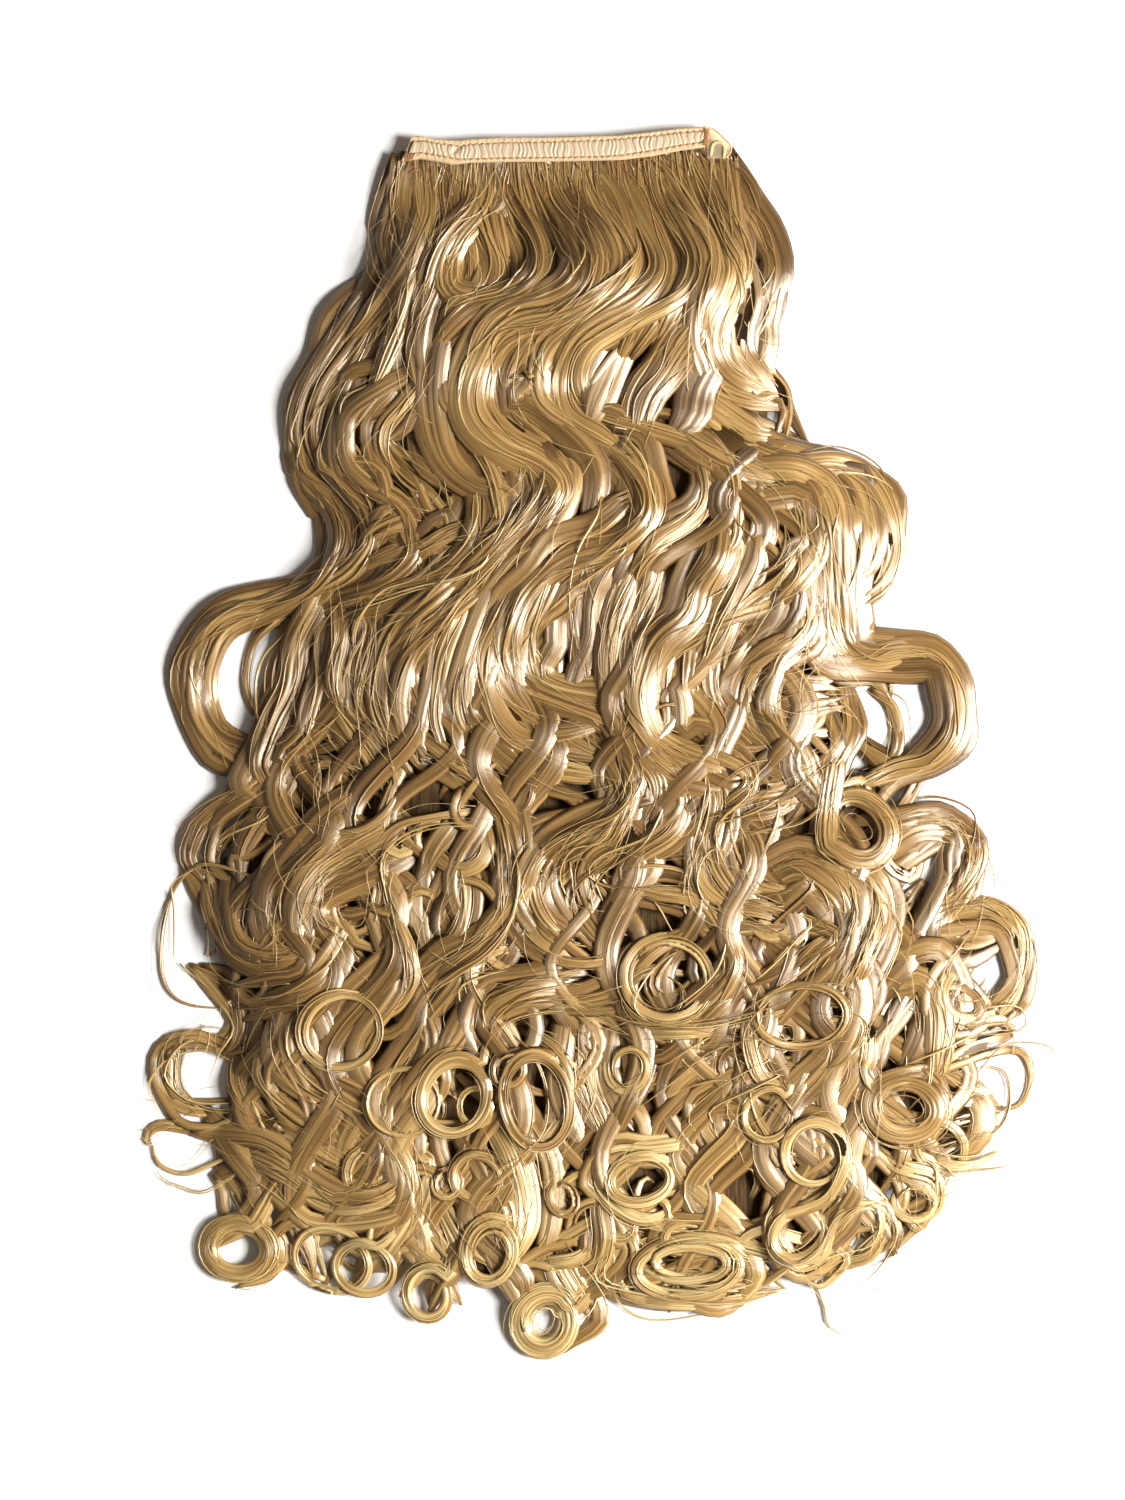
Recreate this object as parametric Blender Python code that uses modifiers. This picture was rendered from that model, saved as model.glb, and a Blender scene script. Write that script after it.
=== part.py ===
"""Curly clip-in ponytail extension lying flat: a sewn band with a long fall of hair.

Metres, +Z up. The origin is on the underside of the hidden clip, in the middle of the band.
The hair falls towards -Y and everything rests on z = 0.
"""

from math import cos, pi, sin, sqrt

import bmesh
import bpy

# Hair, the driving sizes
FALL_LENGTH = 0.600          # from the middle of the band down to the lowest curls
HAIR_HALF_WIDTH = 0.250      # from the centre line to just past the widest curl
PILE_HEIGHT = 0.030          # how high the hair is heaped on its surface
LOCK_WIDTH = 0.016
LOCK_THICKNESS = 0.009
CURL_RADIUS = 0.018          # middle of a curl's turn
TIP_SHARE = 0.6              # how wide a lock's loose end is, share of the lock
TIP_STEP = 0.2               # how much of its width it gains at each point back from the end
HAIR_VOXEL = 0.0028          # finest lock that stays in the fused hair
HAIR_FACETS = 8200           # triangles kept in the fused hair

# Band
BAND_WIDTH = 0.151
BAND_HEIGHT = 0.0125
TAPE_THICKNESS = 0.0012
HEM_THICKNESS = 0.0020
HEM_HEIGHT = 0.0023          # each hem, measured across the band
HEM_ROUND = 0.15             # share of the hem's height that its rounded side takes
PANEL_THICKNESS = 0.0010
GATHER_PITCH = 0.0060
GATHER_DEPTH = 0.0003
BAND_STATIONS = 40

# Weft strip at the head of the hair
WEFT_THICKNESS = 0.0020
WEFT_REACH = 0.0100          # how far the strip runs down into the hair

# Clear tab at the right end of the band
TAB_REACH = 0.0125
TAB_PLY = 0.0008
TAB_FOLD_RADIUS = 0.0018
TAB_SECTIONS = 10
TAB_FOLD_STEPS = 6

# Hidden clip
CLIP_LENGTH = 0.036
CLIP_HEIGHT = 0.0090
CLIP_THICKNESS = 0.0022
CLIP_CORNER = 0.0008

CLEARANCE = 0.0003           # between two pieces that are sewn or laid on each other

# Heights of the sewn layers, from the surface up
WEFT_BASE = CLIP_THICKNESS + CLEARANCE
TAPE_BASE = WEFT_BASE + WEFT_THICKNESS + CLEARANCE
PANEL_BASE = TAPE_BASE + TAPE_THICKNESS + CLEARANCE

# Edge of the band. along: share of BAND_WIDTH. top and bottom: shares of BAND_HEIGHT.
BAND_EDGE = [
    dict(along=-0.50, top=0.52, bottom=-0.48),
    dict(along=-0.44, top=0.46, bottom=-0.42),
    dict(along=-0.34, top=0.35, bottom=-0.63),
    dict(along=-0.20, top=0.46, bottom=-0.55),
    dict(along=0.08, top=0.50, bottom=-0.51),
    dict(along=0.22, top=0.53, bottom=-0.46),
    dict(along=0.34, top=0.72, bottom=-0.28),
    dict(along=0.44, top=0.87, bottom=-0.08),
    dict(along=0.50, top=0.84, bottom=0.04),
]
BAND_END_SLANT = 0.036       # how far the left end's top corner is set in, share of BAND_WIDTH
BAND_END_FADE = 0.11         # how far along the band that slant fades out, share of BAND_WIDTH

# Outline of the tab. across: share of BAND_HEIGHT. reach: share of TAB_REACH.
TAB_OUTLINE = [
    dict(across=0.84, reach=0.22),
    dict(across=0.62, reach=0.55),
    dict(across=0.36, reach=0.80),
    dict(across=0.06, reach=1.00),
    dict(across=-0.18, reach=0.92),
    dict(across=-0.40, reach=0.64),
]

# Under-mass of the hair. down: percent of FALL_LENGTH. left and right: percent of
# HAIR_HALF_WIDTH. crown: share of PILE_HEIGHT.
MASS = [
    dict(down=0.4, left=-29, right=29, crown=0.10),
    dict(down=2, left=-29, right=31, crown=0.16),
    dict(down=5, left=-31, right=36, crown=0.26),
    dict(down=10, left=-34, right=41, crown=0.42),
    dict(down=15, left=-40, right=40, crown=0.56),
    dict(down=20, left=-47, right=43, crown=0.66),
    dict(down=25, left=-48, right=48, crown=0.76),
    dict(down=30, left=-44, right=65, crown=0.82),
    dict(down=35, left=-42, right=65, crown=0.84),
    dict(down=39, left=-48, right=57, crown=0.84),
    dict(down=45, left=-51, right=60, crown=0.84),
    dict(down=50, left=-55, right=64, crown=0.82),
    dict(down=54, left=-64, right=64, crown=0.80),
    dict(down=58, left=-70, right=75, crown=0.80),
    dict(down=63, left=-70, right=72, crown=0.80),
    dict(down=67, left=-71, right=87, crown=0.80),
    dict(down=71, left=-64, right=88, crown=0.78),
    dict(down=76, left=-64, right=84, crown=0.74),
    dict(down=80, left=-66, right=84, crown=0.70),
    dict(down=84, left=-67, right=84, crown=0.64),
    dict(down=88, left=-61, right=73, crown=0.54),
    dict(down=92, left=-48, right=62, crown=0.40),
    dict(down=95, left=-30, right=44, crown=0.24),
]

# The main locks, one row each. wide and thick: shares of LOCK_WIDTH and LOCK_THICKNESS.
# lift: share of LOCK_THICKNESS above the under-mass. root: where it leaves the band, share
# of BAND_WIDTH, or None for a lock that starts lower down. path: (percent of
# HAIR_HALF_WIDTH, percent of FALL_LENGTH) at each turn of the wave.
LOCKS = [
    dict(name="left edge and left loop", wide=1.0, thick=0.9, lift=0.0, root=-0.47,
         path=[(-33, 6), (-37, 10.5), (-44, 15.5), (-49.5, 20), (-50.5, 24.5), (-47, 29),
               (-43.5, 33), (-48, 36.5), (-60, 38), (-70, 40.5), (-73, 45), (-69, 49.5),
               (-59, 52), (-50, 56)]),
    dict(name="left inner wave", wide=0.9, thick=1.0, lift=0.2, root=-0.42,
         path=[(-29.5, 7.5), (-28.5, 12.5), (-35.5, 20), (-42, 24), (-38, 28), (-29.5, 31),
               (-28.5, 34), (-37, 37), (-43, 39), (-45, 43), (-42, 48), (-34, 53)]),
    dict(name="left strand beside the loop", wide=1.1, thick=0.9, lift=0.0, root=None,
         path=[(-45, 37), (-51.5, 41), (-53, 45), (-56.5, 49), (-58, 52), (-54, 55.5)]),
    dict(name="left centre wave", wide=1.1, thick=1.0, lift=0.1, root=-0.24,
         path=[(-14, 6), (-24, 9), (-20, 14), (-23, 19.5), (-15, 25), (-11, 30.5), (-17, 35),
               (-28, 41), (-31, 46), (-28, 51), (-22, 55)]),
    dict(name="broad centre wave", wide=1.5, thick=1.1, lift=0.2, root=-0.04,
         path=[(5.5, 7.5), (4.5, 12), (-11, 15), (-17.5, 20), (-9, 25.5), (0, 28.5),
               (-2, 31.5), (-12.5, 35), (-17, 40), (-23, 45), (-23, 49), (-15, 52.5),
               (-5, 54)]),
    dict(name="centre wave", wide=1.2, thick=1.0, lift=0.3, root=0.13,
         path=[(15, 9.5), (1, 16), (-2, 21.5), (9, 24), (18, 29), (13, 33), (-2, 36),
               (-11, 40), (-14, 45), (-8.5, 49), (4, 51.5), (17, 53.5)]),
    dict(name="right centre wave", wide=1.0, thick=1.0, lift=0.4, root=0.28,
         path=[(28.5, 9.5), (13, 15.5), (6, 19.5), (17, 23), (34, 26.5), (35, 31.5),
               (27, 37.5), (18, 43.5), (18, 49), (29, 51.5), (40, 52)]),
    dict(name="long middle wave", wide=1.1, thick=1.0, lift=0.0, root=0.36,
         path=[(30, 7.5), (27.5, 15.5), (20, 20), (24, 24.5), (30, 27.5), (26, 31), (17, 35),
               (12, 41), (12, 47), (15, 52.5), (8, 57.5), (-2, 61), (-3, 65), (4, 68)]),
    dict(name="right edge", wide=0.8, thick=0.9, lift=0.0, root=0.49,
         path=[(39, 5.5), (43, 11), (42, 15), (40, 17), (45.5, 20.5), (46, 24), (55, 26.5),
               (65.5, 29), (67.5, 33), (61.5, 37)]),
    dict(name="right loop", wide=1.25, thick=0.9, lift=0.1, root=0.44,
         path=[(35.5, 10.5), (32, 15), (36, 19.5), (41, 24), (47, 27.5), (56, 31.5),
               (57, 37.5), (60, 41), (70, 42), (78.5, 44.5), (79.5, 48), (72, 51.5),
               (62, 53.5)]),
    dict(name="right inner wave", wide=0.8, thick=0.9, lift=0.5, root=None,
         path=[(37, 29), (44, 34), (50.5, 39), (45, 42.5), (43.5, 47), (52, 51), (61, 53.5),
               (67, 56.5), (63, 59), (54.5, 58), (53, 54.5)]),
    dict(name="lower centre wave", wide=0.9, thick=1.0, lift=0.4, root=None,
         path=[(12, 49), (16, 52.5), (9, 56.5), (-3, 59), (-5, 63), (4, 66.5), (-3, 69.5),
               (-13, 71.5), (-11, 75), (0, 75), (2, 80), (-7, 83)]),
    dict(name="lower ring wave", wide=0.8, thick=0.9, lift=0.6, root=None,
         path=[(20, 51), (26, 54.5), (16, 59), (17, 61.5), (29, 63), (35.5, 67.5), (29, 72),
               (19, 72), (15.5, 69), (21, 66.5)]),
    dict(name="lower right wave", wide=0.9, thick=1.0, lift=0.2, root=None,
         path=[(29, 50), (38, 52), (31.5, 56.5), (37, 61.5), (49, 63), (56, 65.5),
               (49, 69.5), (40, 72.5), (40, 76.5), (51, 78)]),
    dict(name="right roll", wide=1.2, thick=1.1, lift=0.3, root=None,
         path=[(42.5, 60.5), (53, 60.5), (61, 63), (59, 66.5), (55, 71), (59, 74), (56, 78)]),
    dict(name="right hook", wide=0.95, thick=0.9, lift=0.0, root=None,
         path=[(60, 60), (69, 56.5), (78.5, 56.5), (82, 59), (79, 61.5), (75, 64),
               (79, 66.5), (88, 65.5)]),
    dict(name="right pale loop", wide=0.8, thick=0.9, lift=0.1, root=None,
         path=[(69, 68), (78, 64.5), (88, 64), (92.5, 67), (90, 71.5), (81, 72), (76, 70)]),
    dict(name="right lower strand", wide=1.3, thick=1.0, lift=0.2, root=None,
         path=[(70, 68.5), (76, 71), (77, 75), (74, 79), (64, 79)]),
    dict(name="right small loop", wide=0.5, thick=0.7, lift=0.0, root=None,
         path=[(78, 74), (86, 73), (89, 75.5), (94.5, 76.5), (93.5, 79.5), (87, 80)]),
    dict(name="right pointed curls", wide=0.8, thick=0.8, lift=0.0, root=None,
         path=[(68, 78), (84, 79.5), (87.5, 81), (77, 82.5), (78, 84), (89, 83.5)]),
    dict(name="right low tail", wide=0.8, thick=0.8, lift=0.0, root=None,
         path=[(60, 84), (71, 85.5), (75.5, 88), (70, 89.5), (67, 91.5), (60, 93)]),
    dict(name="left lower edge", wide=0.9, thick=0.9, lift=0.0, root=None,
         path=[(-57, 52), (-64, 54), (-71, 57), (-72, 59.5), (-66, 62), (-60, 66.5),
               (-49, 67.5), (-42, 64)]),
    dict(name="left swirl", wide=0.6, thick=0.8, lift=0.0, root=None,
         path=[(-72, 68), (-66, 70), (-63.5, 73.5), (-68, 75), (-75, 74), (-79, 76),
               (-77.5, 79), (-68, 80), (-60, 79)]),
    dict(name="left low hook", wide=0.7, thick=0.8, lift=0.0, root=None,
         path=[(-66, 84.5), (-77, 84), (-80, 82), (-74, 81), (-64, 82), (-55, 84.5),
               (-44, 86), (-33, 85.5)]),
    dict(name="left corner wave", wide=0.9, thick=0.9, lift=0.0, root=None,
         path=[(-50, 82), (-64, 84), (-66, 86.5), (-60, 88.5), (-55.5, 90.5), (-55.5, 92.5)]),
    dict(name="left low wave", wide=1.0, thick=1.0, lift=0.3, root=None,
         path=[(-34, 56.5), (-44, 57.5), (-51, 61), (-51, 66), (-45, 70), (-53, 73),
               (-52, 77), (-44, 79.5), (-33, 81)]),
    dict(name="left inner fall", wide=0.8, thick=0.9, lift=0.4, root=None,
         path=[(-15, 56), (-30, 56.5), (-34, 61), (-29, 67), (-31, 71), (-40, 70.5)]),
    dict(name="middle fold", wide=1.1, thick=1.0, lift=0.2, root=None,
         path=[(-22, 58), (-11, 63), (-20, 67.5), (-18, 71.5), (-27, 75)]),
    dict(name="pale left tail", wide=0.9, thick=0.9, lift=0.3, root=None,
         path=[(-36, 79), (-33, 83), (-28, 86), (-31, 90), (-35, 93)]),
    dict(name="pale middle tail", wide=1.1, thick=0.9, lift=0.2, root=None,
         path=[(-10, 82), (-7, 86.5), (-9, 91), (-3, 92.5), (4, 92), (10, 90)]),
    dict(name="pale big curl", wide=0.75, thick=0.9, lift=0.5, root=None,
         path=[(42.5, 82.5), (49, 81), (56.5, 83), (55, 86.5), (45.5, 88), (44, 91),
               (51, 92.5), (57, 90.5), (59, 88)]),
    dict(name="bottom fold", wide=1.2, thick=0.9, lift=0.0, root=None,
         path=[(9, 89), (12, 93), (18, 95.5), (28, 96), (38, 95), (46, 93.5), (55, 94)]),
    dict(name="bottom inner fold", wide=0.9, thick=0.9, lift=0.2, root=None,
         path=[(24, 79), (14, 81), (9, 84), (13, 88), (23, 88.5), (30, 92)]),
]

# End curls that close on themselves. across and down: percents, as in LOCKS. round_x and
# round_y: shares of CURL_RADIUS. wide and thick: shares of the lock's sizes.
CURLS = [
    dict(across=-43, down=73.3, round_x=1.10, round_y=1.10, wide=0.45, thick=0.8, lift=0.8),
    dict(across=-20, down=78.5, round_x=1.00, round_y=1.00, wide=0.60, thick=0.8, lift=0.7),
    dict(across=-63, down=91.5, round_x=0.82, round_y=0.80, wide=0.85, thick=0.9, lift=0.0),
    dict(across=-44, down=92.0, round_x=0.98, round_y=0.92, wide=0.45, thick=0.7, lift=0.0),
    dict(across=-25, down=95.0, round_x=0.72, round_y=0.62, wide=0.80, thick=0.9, lift=0.0),
    dict(across=-13, down=91.5, round_x=0.72, round_y=0.85, wide=0.80, thick=0.9, lift=0.3),
    dict(across=-1.5, down=97.3, round_x=0.80, round_y=0.76, wide=0.95, thick=0.9, lift=0.0),
    dict(across=-9, down=76.5, round_x=0.50, round_y=0.50, wide=0.60, thick=0.8, lift=0.6),
    dict(across=70, down=79.6, round_x=1.05, round_y=0.72, wide=0.85, thick=0.9, lift=0.5),
    dict(across=43, down=81.0, round_x=0.80, round_y=0.85, wide=0.50, thick=0.8, lift=0.5),
    dict(across=27, down=93.5, round_x=1.20, round_y=0.60, wide=0.60, thick=0.8, lift=0.3),
]
CURL_POINTS = 10             # points round one turn

# Colours as linear base colour and alpha, with roughness
FINISHES = {
    "hair_fall": dict(colour=(0.47, 0.30, 0.13, 1.0), roughness=0.38),
    "band_tape": dict(colour=(0.86, 0.70, 0.48, 1.0), roughness=0.80),
    "band_panel": dict(colour=(0.84, 0.69, 0.51, 1.0), roughness=0.45),
    "end_tab": dict(colour=(0.78, 0.60, 0.34, 1.0), roughness=0.30),
    "snap_clip": dict(colour=(0.10, 0.07, 0.05, 1.0), roughness=0.35),
}


def clear_scene():
    for item in list(bpy.data.objects):
        bpy.data.objects.remove(item, do_unlink=True)


def make_collection(name):
    group = bpy.data.collections.new(name)
    bpy.context.scene.collection.children.link(group)
    return group


def make_finish(name):
    finish = FINISHES[name]
    material = bpy.data.materials.new(name)
    material.use_nodes = True
    shader = material.node_tree.nodes["Principled BSDF"]
    shader.inputs["Base Color"].default_value = finish["colour"]
    shader.inputs["Roughness"].default_value = finish["roughness"]
    shader.inputs["Metallic"].default_value = 0.0
    return material


def mesh_object(name, mesh, group):
    item = bpy.data.objects.new(name, mesh)
    group.objects.link(item)
    return item


def read_row(rows, key, column, at):
    """Value of a column at a place between rows, on a curve through its neighbours."""
    keys = [row[key] for row in rows]
    values = [row[column] for row in rows]
    if at <= keys[0]:
        return values[0]
    if at >= keys[-1]:
        return values[-1]
    i = max(k for k in range(len(keys) - 1) if keys[k] <= at)
    span = keys[i + 1] - keys[i]
    t = (at - keys[i]) / span
    before = max(i - 1, 0)
    after = min(i + 2, len(keys) - 1)
    slope_in = (values[i + 1] - values[before]) / (keys[i + 1] - keys[before]) * span
    slope_out = (values[after] - values[i]) / (keys[after] - keys[i]) * span
    return (values[i] * (2 * t**3 - 3 * t**2 + 1) + slope_in * (t**3 - 2 * t**2 + t)
            + values[i + 1] * (3 * t**2 - 2 * t**3) + slope_out * (t**3 - t**2))


def loft(name, sections, group):
    """One closed solid through sections with the same number of corners."""
    mesh = bpy.data.meshes.new(name)
    shape = bmesh.new()
    rings = [[shape.verts.new(corner) for corner in section] for section in sections]
    count = len(rings[0])
    for first, second in zip(rings, rings[1:]):
        for k in range(count):
            n = (k + 1) % count
            shape.faces.new((first[k], first[n], second[n], second[k]))
    shape.faces.new(rings[0])
    shape.faces.new(list(reversed(rings[-1])))
    bmesh.ops.triangulate(shape, faces=list(shape.faces))
    bmesh.ops.recalc_face_normals(shape, faces=list(shape.faces))
    shape.to_mesh(mesh)
    shape.free()
    return mesh_object(name, mesh, group)


def band_top(along):
    return read_row(BAND_EDGE, "along", "top", along) * BAND_HEIGHT


def band_bottom(along):
    return read_row(BAND_EDGE, "along", "bottom", along) * BAND_HEIGHT


def band_point(along, across, height):
    """A point on the band. along: share of its width. across: metres up from its lower edge."""
    low = band_bottom(along)
    high = band_top(along)
    slant_share = max(0.0, 1 - (along + 0.5) / BAND_END_FADE)
    x = along * BAND_WIDTH
    x += BAND_END_SLANT * BAND_WIDTH * slant_share * across / BAND_HEIGHT
    return (x, min(low + across, high), height)


def along_band(count, inset=0.0):
    """Even places along the band, as shares of its width, held clear of its ends."""
    edge = 0.5 - inset / BAND_WIDTH
    return [-edge + 2 * edge * k / (count - 1) for k in range(count)]


def build_tape(group):
    hem_top = TAPE_BASE + HEM_THICKNESS
    web_top = TAPE_BASE + TAPE_THICKNESS
    roll = HEM_HEIGHT * HEM_ROUND
    sections = []
    for along in along_band(BAND_STATIONS):
        high = band_top(along) - band_bottom(along)
        profile = [(0, TAPE_BASE), (0, web_top), (roll, hem_top), (HEM_HEIGHT - roll, hem_top),
                   (HEM_HEIGHT, web_top), (high - HEM_HEIGHT, web_top),
                   (high - HEM_HEIGHT + roll, hem_top), (high - roll, hem_top),
                   (high, web_top), (high, TAPE_BASE)]
        sections.append([band_point(along, across, z) for across, z in profile])
    return loft("band_tape", sections, group)


def build_panel(group):
    """The satin strip between the hems, drawn into small upright gathers."""
    steps = 4 * round(BAND_WIDTH / GATHER_PITCH)
    places = along_band(steps + 1, inset=2 * CLEARANCE)
    sections = []
    for along in places:
        high = band_top(along) - band_bottom(along)
        low_edge = HEM_HEIGHT + CLEARANCE
        high_edge = high - HEM_HEIGHT - CLEARANCE
        gather = 0.5 + 0.5 * sin(2 * pi * along * BAND_WIDTH / GATHER_PITCH)
        top = PANEL_BASE + PANEL_THICKNESS + GATHER_DEPTH * gather
        profile = [(low_edge, PANEL_BASE), (low_edge, top - GATHER_DEPTH / 2),
                   ((low_edge + high_edge) / 2, top), (high_edge, top - GATHER_DEPTH / 2),
                   (high_edge, PANEL_BASE)]
        sections.append([band_point(along, across, z) for across, z in profile])
    return loft("band_panel", sections, group)


def build_tab(group):
    """A clear strip that folds out of the band's end and back under itself."""
    x_start = BAND_WIDTH / 2 + CLEARANCE
    top = TAPE_BASE + TAPE_THICKNESS
    middle = top - TAB_FOLD_RADIUS
    first = TAB_OUTLINE[-1]["across"]
    last = TAB_OUTLINE[0]["across"]
    outline = list(reversed(TAB_OUTLINE))
    sections = []
    for k in range(TAB_SECTIONS + 1):
        across = first + (last - first) * k / TAB_SECTIONS
        reach = read_row(outline, "across", "reach", across) * TAB_REACH
        bend_x = x_start + max(reach - TAB_FOLD_RADIUS, TAB_FOLD_RADIUS)
        outer = []
        inner = []
        for j in range(TAB_FOLD_STEPS + 1):
            turn = pi / 2 - pi * j / TAB_FOLD_STEPS
            inner_radius = TAB_FOLD_RADIUS - TAB_PLY
            outer.append((bend_x + TAB_FOLD_RADIUS * cos(turn),
                          middle + TAB_FOLD_RADIUS * sin(turn)))
            inner.append((bend_x + inner_radius * cos(turn), middle + inner_radius * sin(turn)))
        profile = [(x_start, top), *outer, *reversed(inner), (x_start, top - TAB_PLY)]
        y = across * BAND_HEIGHT
        sections.append([(x, y, z) for x, z in profile])
    return loft("end_tab", sections, group)


def build_clip(group):
    bpy.ops.mesh.primitive_cube_add(size=1, location=(0, 0, CLIP_THICKNESS / 2))
    clip = bpy.context.active_object
    clip.name = "snap_clip"
    clip.dimensions = (CLIP_LENGTH, CLIP_HEIGHT, CLIP_THICKNESS)
    bpy.ops.object.transform_apply(location=False, rotation=False, scale=True)
    for holder in list(clip.users_collection):
        holder.objects.unlink(clip)
    group.objects.link(clip)
    shape = bmesh.new()
    shape.from_mesh(clip.data)
    upright = [edge for edge in shape.edges
               if abs(edge.verts[0].co.z - edge.verts[1].co.z) > CLIP_THICKNESS / 2]
    bmesh.ops.bevel(shape, geom=upright, offset=CLIP_CORNER, segments=3, profile=0.5,
                    affect="EDGES")
    shape.to_mesh(clip.data)
    shape.free()
    return clip


def mass_height(x, y):
    """Height of the under-mass at a place, zero outside it."""
    down = -y / FALL_LENGTH * 100
    if down > MASS[-1]["down"]:
        return 0.0
    left = read_row(MASS, "down", "left", down) * HAIR_HALF_WIDTH / 100
    right = read_row(MASS, "down", "right", down) * HAIR_HALF_WIDTH / 100
    crown = read_row(MASS, "down", "crown", down) * PILE_HEIGHT
    side = (2 * x - left - right) / (right - left)
    if abs(side) >= 1:
        return 0.0
    return crown * sqrt(1 - side**4)


def build_mass(group):
    """The hair under the main locks: a low heap with a flat underside."""
    steps = 60
    arch = 14
    first = MASS[0]["down"]
    last = MASS[-1]["down"]
    edge_height = LOCK_THICKNESS / 4
    sections = []
    for k in range(steps + 1):
        down = first + (last - first) * k / steps
        y = -down / 100 * FALL_LENGTH
        left = read_row(MASS, "down", "left", down) * HAIR_HALF_WIDTH / 100
        right = read_row(MASS, "down", "right", down) * HAIR_HALF_WIDTH / 100
        section = [(left, y, 0.0)]
        for j in range(arch + 1):
            x = left + (right - left) * (0.5 - 0.5 * cos(pi * j / arch))
            section.append((x, y, max(mass_height(x, y), edge_height)))
        section.append((right, y, 0.0))
        sections.append(section)
    return loft("hair mass", sections, group)


def lock_curve(name, points, wide, thick, closed, group):
    """A flattened lock through its points, thinner at a loose end."""
    curve = bpy.data.curves.new(name, "CURVE")
    curve.dimensions = "3D"
    curve.twist_mode = "Z_UP"
    curve.resolution_u = 8
    curve.bevel_depth = thick / 2
    curve.bevel_resolution = 2
    curve.extrude = max(wide - thick, 0.0) / 2
    curve.use_fill_caps = True
    spline = curve.splines.new("BEZIER")
    spline.bezier_points.add(len(points) - 1)
    spline.use_cyclic_u = closed
    for k, (knot, place) in enumerate(zip(spline.bezier_points, points)):
        knot.co = place
        knot.handle_left_type = "AUTO"
        knot.handle_right_type = "AUTO"
        knot.tilt = pi / 2
        left_to_end = len(points) - 1 - k
        knot.radius = 1.0 if closed else min(1.0, TIP_SHARE + TIP_STEP * left_to_end)
    item = bpy.data.objects.new(name, curve)
    group.objects.link(item)
    return item


def lie_on_mass(x, y, thick, lift):
    return max(mass_height(x, y), thick / 2) + lift * LOCK_THICKNESS


def build_locks(group):
    curves = []
    for row in LOCKS:
        wide = row["wide"] * LOCK_WIDTH
        thick = row["thick"] * LOCK_THICKNESS
        places = [(across / 100 * HAIR_HALF_WIDTH, -down / 100 * FALL_LENGTH)
                  for across, down in row["path"]]
        if row["root"] is not None:
            root_y = band_bottom(row["root"]) + WEFT_REACH / 2
            places.insert(0, (row["root"] * BAND_WIDTH, root_y))
        points = [(x, y, lie_on_mass(x, y, thick, row["lift"])) for x, y in places]
        curves.append(lock_curve(row["name"], points, wide, thick, False, group))
    for k, row in enumerate(CURLS):
        wide = row["wide"] * LOCK_WIDTH
        thick = row["thick"] * LOCK_THICKNESS
        middle_x = row["across"] / 100 * HAIR_HALF_WIDTH
        middle_y = -row["down"] / 100 * FALL_LENGTH
        height = lie_on_mass(middle_x, middle_y, thick, row["lift"])
        points = []
        for j in range(CURL_POINTS):
            turn = 2 * pi * j / CURL_POINTS
            points.append((middle_x + row["round_x"] * CURL_RADIUS * cos(turn),
                           middle_y + row["round_y"] * CURL_RADIUS * sin(turn), height))
        curves.append(lock_curve(f"end curl {k}", points, wide, thick, True, group))
    return curves


def evaluated_mesh(item):
    bpy.context.view_layer.update()
    graph = bpy.context.evaluated_depsgraph_get()
    return bpy.data.meshes.new_from_object(item.evaluated_get(graph), depsgraph=graph)


def join_meshes(name, items, group):
    shape = bmesh.new()
    for item in items:
        mesh = evaluated_mesh(item)
        shape.from_mesh(mesh)
        bpy.data.meshes.remove(mesh)
        bpy.data.objects.remove(item, do_unlink=True)
    joined = bpy.data.meshes.new(name)
    shape.to_mesh(joined)
    shape.free()
    return mesh_object(name, joined, group)


def shell_of(start):
    """All the points that can be reached from one point along edges."""
    found = {start}
    waiting = [start]
    while waiting:
        for edge in waiting.pop().link_edges:
            for point in edge.verts:
                if point not in found:
                    found.add(point)
                    waiting.append(point)
    return found


def keep_outer_shell(mesh):
    """Fills air pockets between crossing locks and drops anything loose."""
    shape = bmesh.new()
    shape.from_mesh(mesh)
    rest = set(shape.verts)
    shells = []
    while rest:
        shell = shell_of(next(iter(rest)))
        shells.append(shell)
        rest -= shell
    shells.sort(key=len, reverse=True)
    for shell in shells[1:]:
        bmesh.ops.delete(shape, geom=list(shell), context="VERTS")
    shape.to_mesh(mesh)
    shape.free()


def flatten_underside(mesh, reach):
    """What lies lower than reach lies flat on the surface."""
    for point in mesh.vertices:
        if point.co.z < reach:
            point.co.z = 0.0


def build_weft(group):
    """The sewn strip that carries the hair and tucks under the tape."""
    sections = []
    for along in along_band(BAND_STATIONS, inset=6 * CLEARANCE):
        x = along * BAND_WIDTH
        low = band_bottom(along) - WEFT_REACH
        high = (band_bottom(along) + band_top(along)) / 2
        top = WEFT_BASE + WEFT_THICKNESS
        sections.append([(x, low, WEFT_BASE), (x, high, WEFT_BASE), (x, high, top),
                         (x, low, top)])
    return loft("weft strip", sections, group)


def build_band_space(group):
    """The room that the band, the tab and the clip need, cut from the loose hair."""
    tall = PILE_HEIGHT * 2
    reach = BAND_HEIGHT * 4
    end = 0.5 + (TAB_REACH + 2 * CLEARANCE) / BAND_WIDTH
    tab_low = TAB_OUTLINE[-1]["across"] * BAND_HEIGHT
    sections = []
    for along in [-end, *along_band(BAND_STATIONS), end]:
        low = band_bottom(along)
        if along >= 0.5:
            low = min(low, tab_low)
        x = along * BAND_WIDTH
        if abs(x) < CLIP_LENGTH / 2 + BAND_WIDTH / BAND_STATIONS:
            low = min(low, -CLIP_HEIGHT / 2)
        low -= CLEARANCE
        sections.append([(x, low, -tall), (x, reach, -tall), (x, reach, tall), (x, low, tall)])
    return loft("band space", sections, group)


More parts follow.
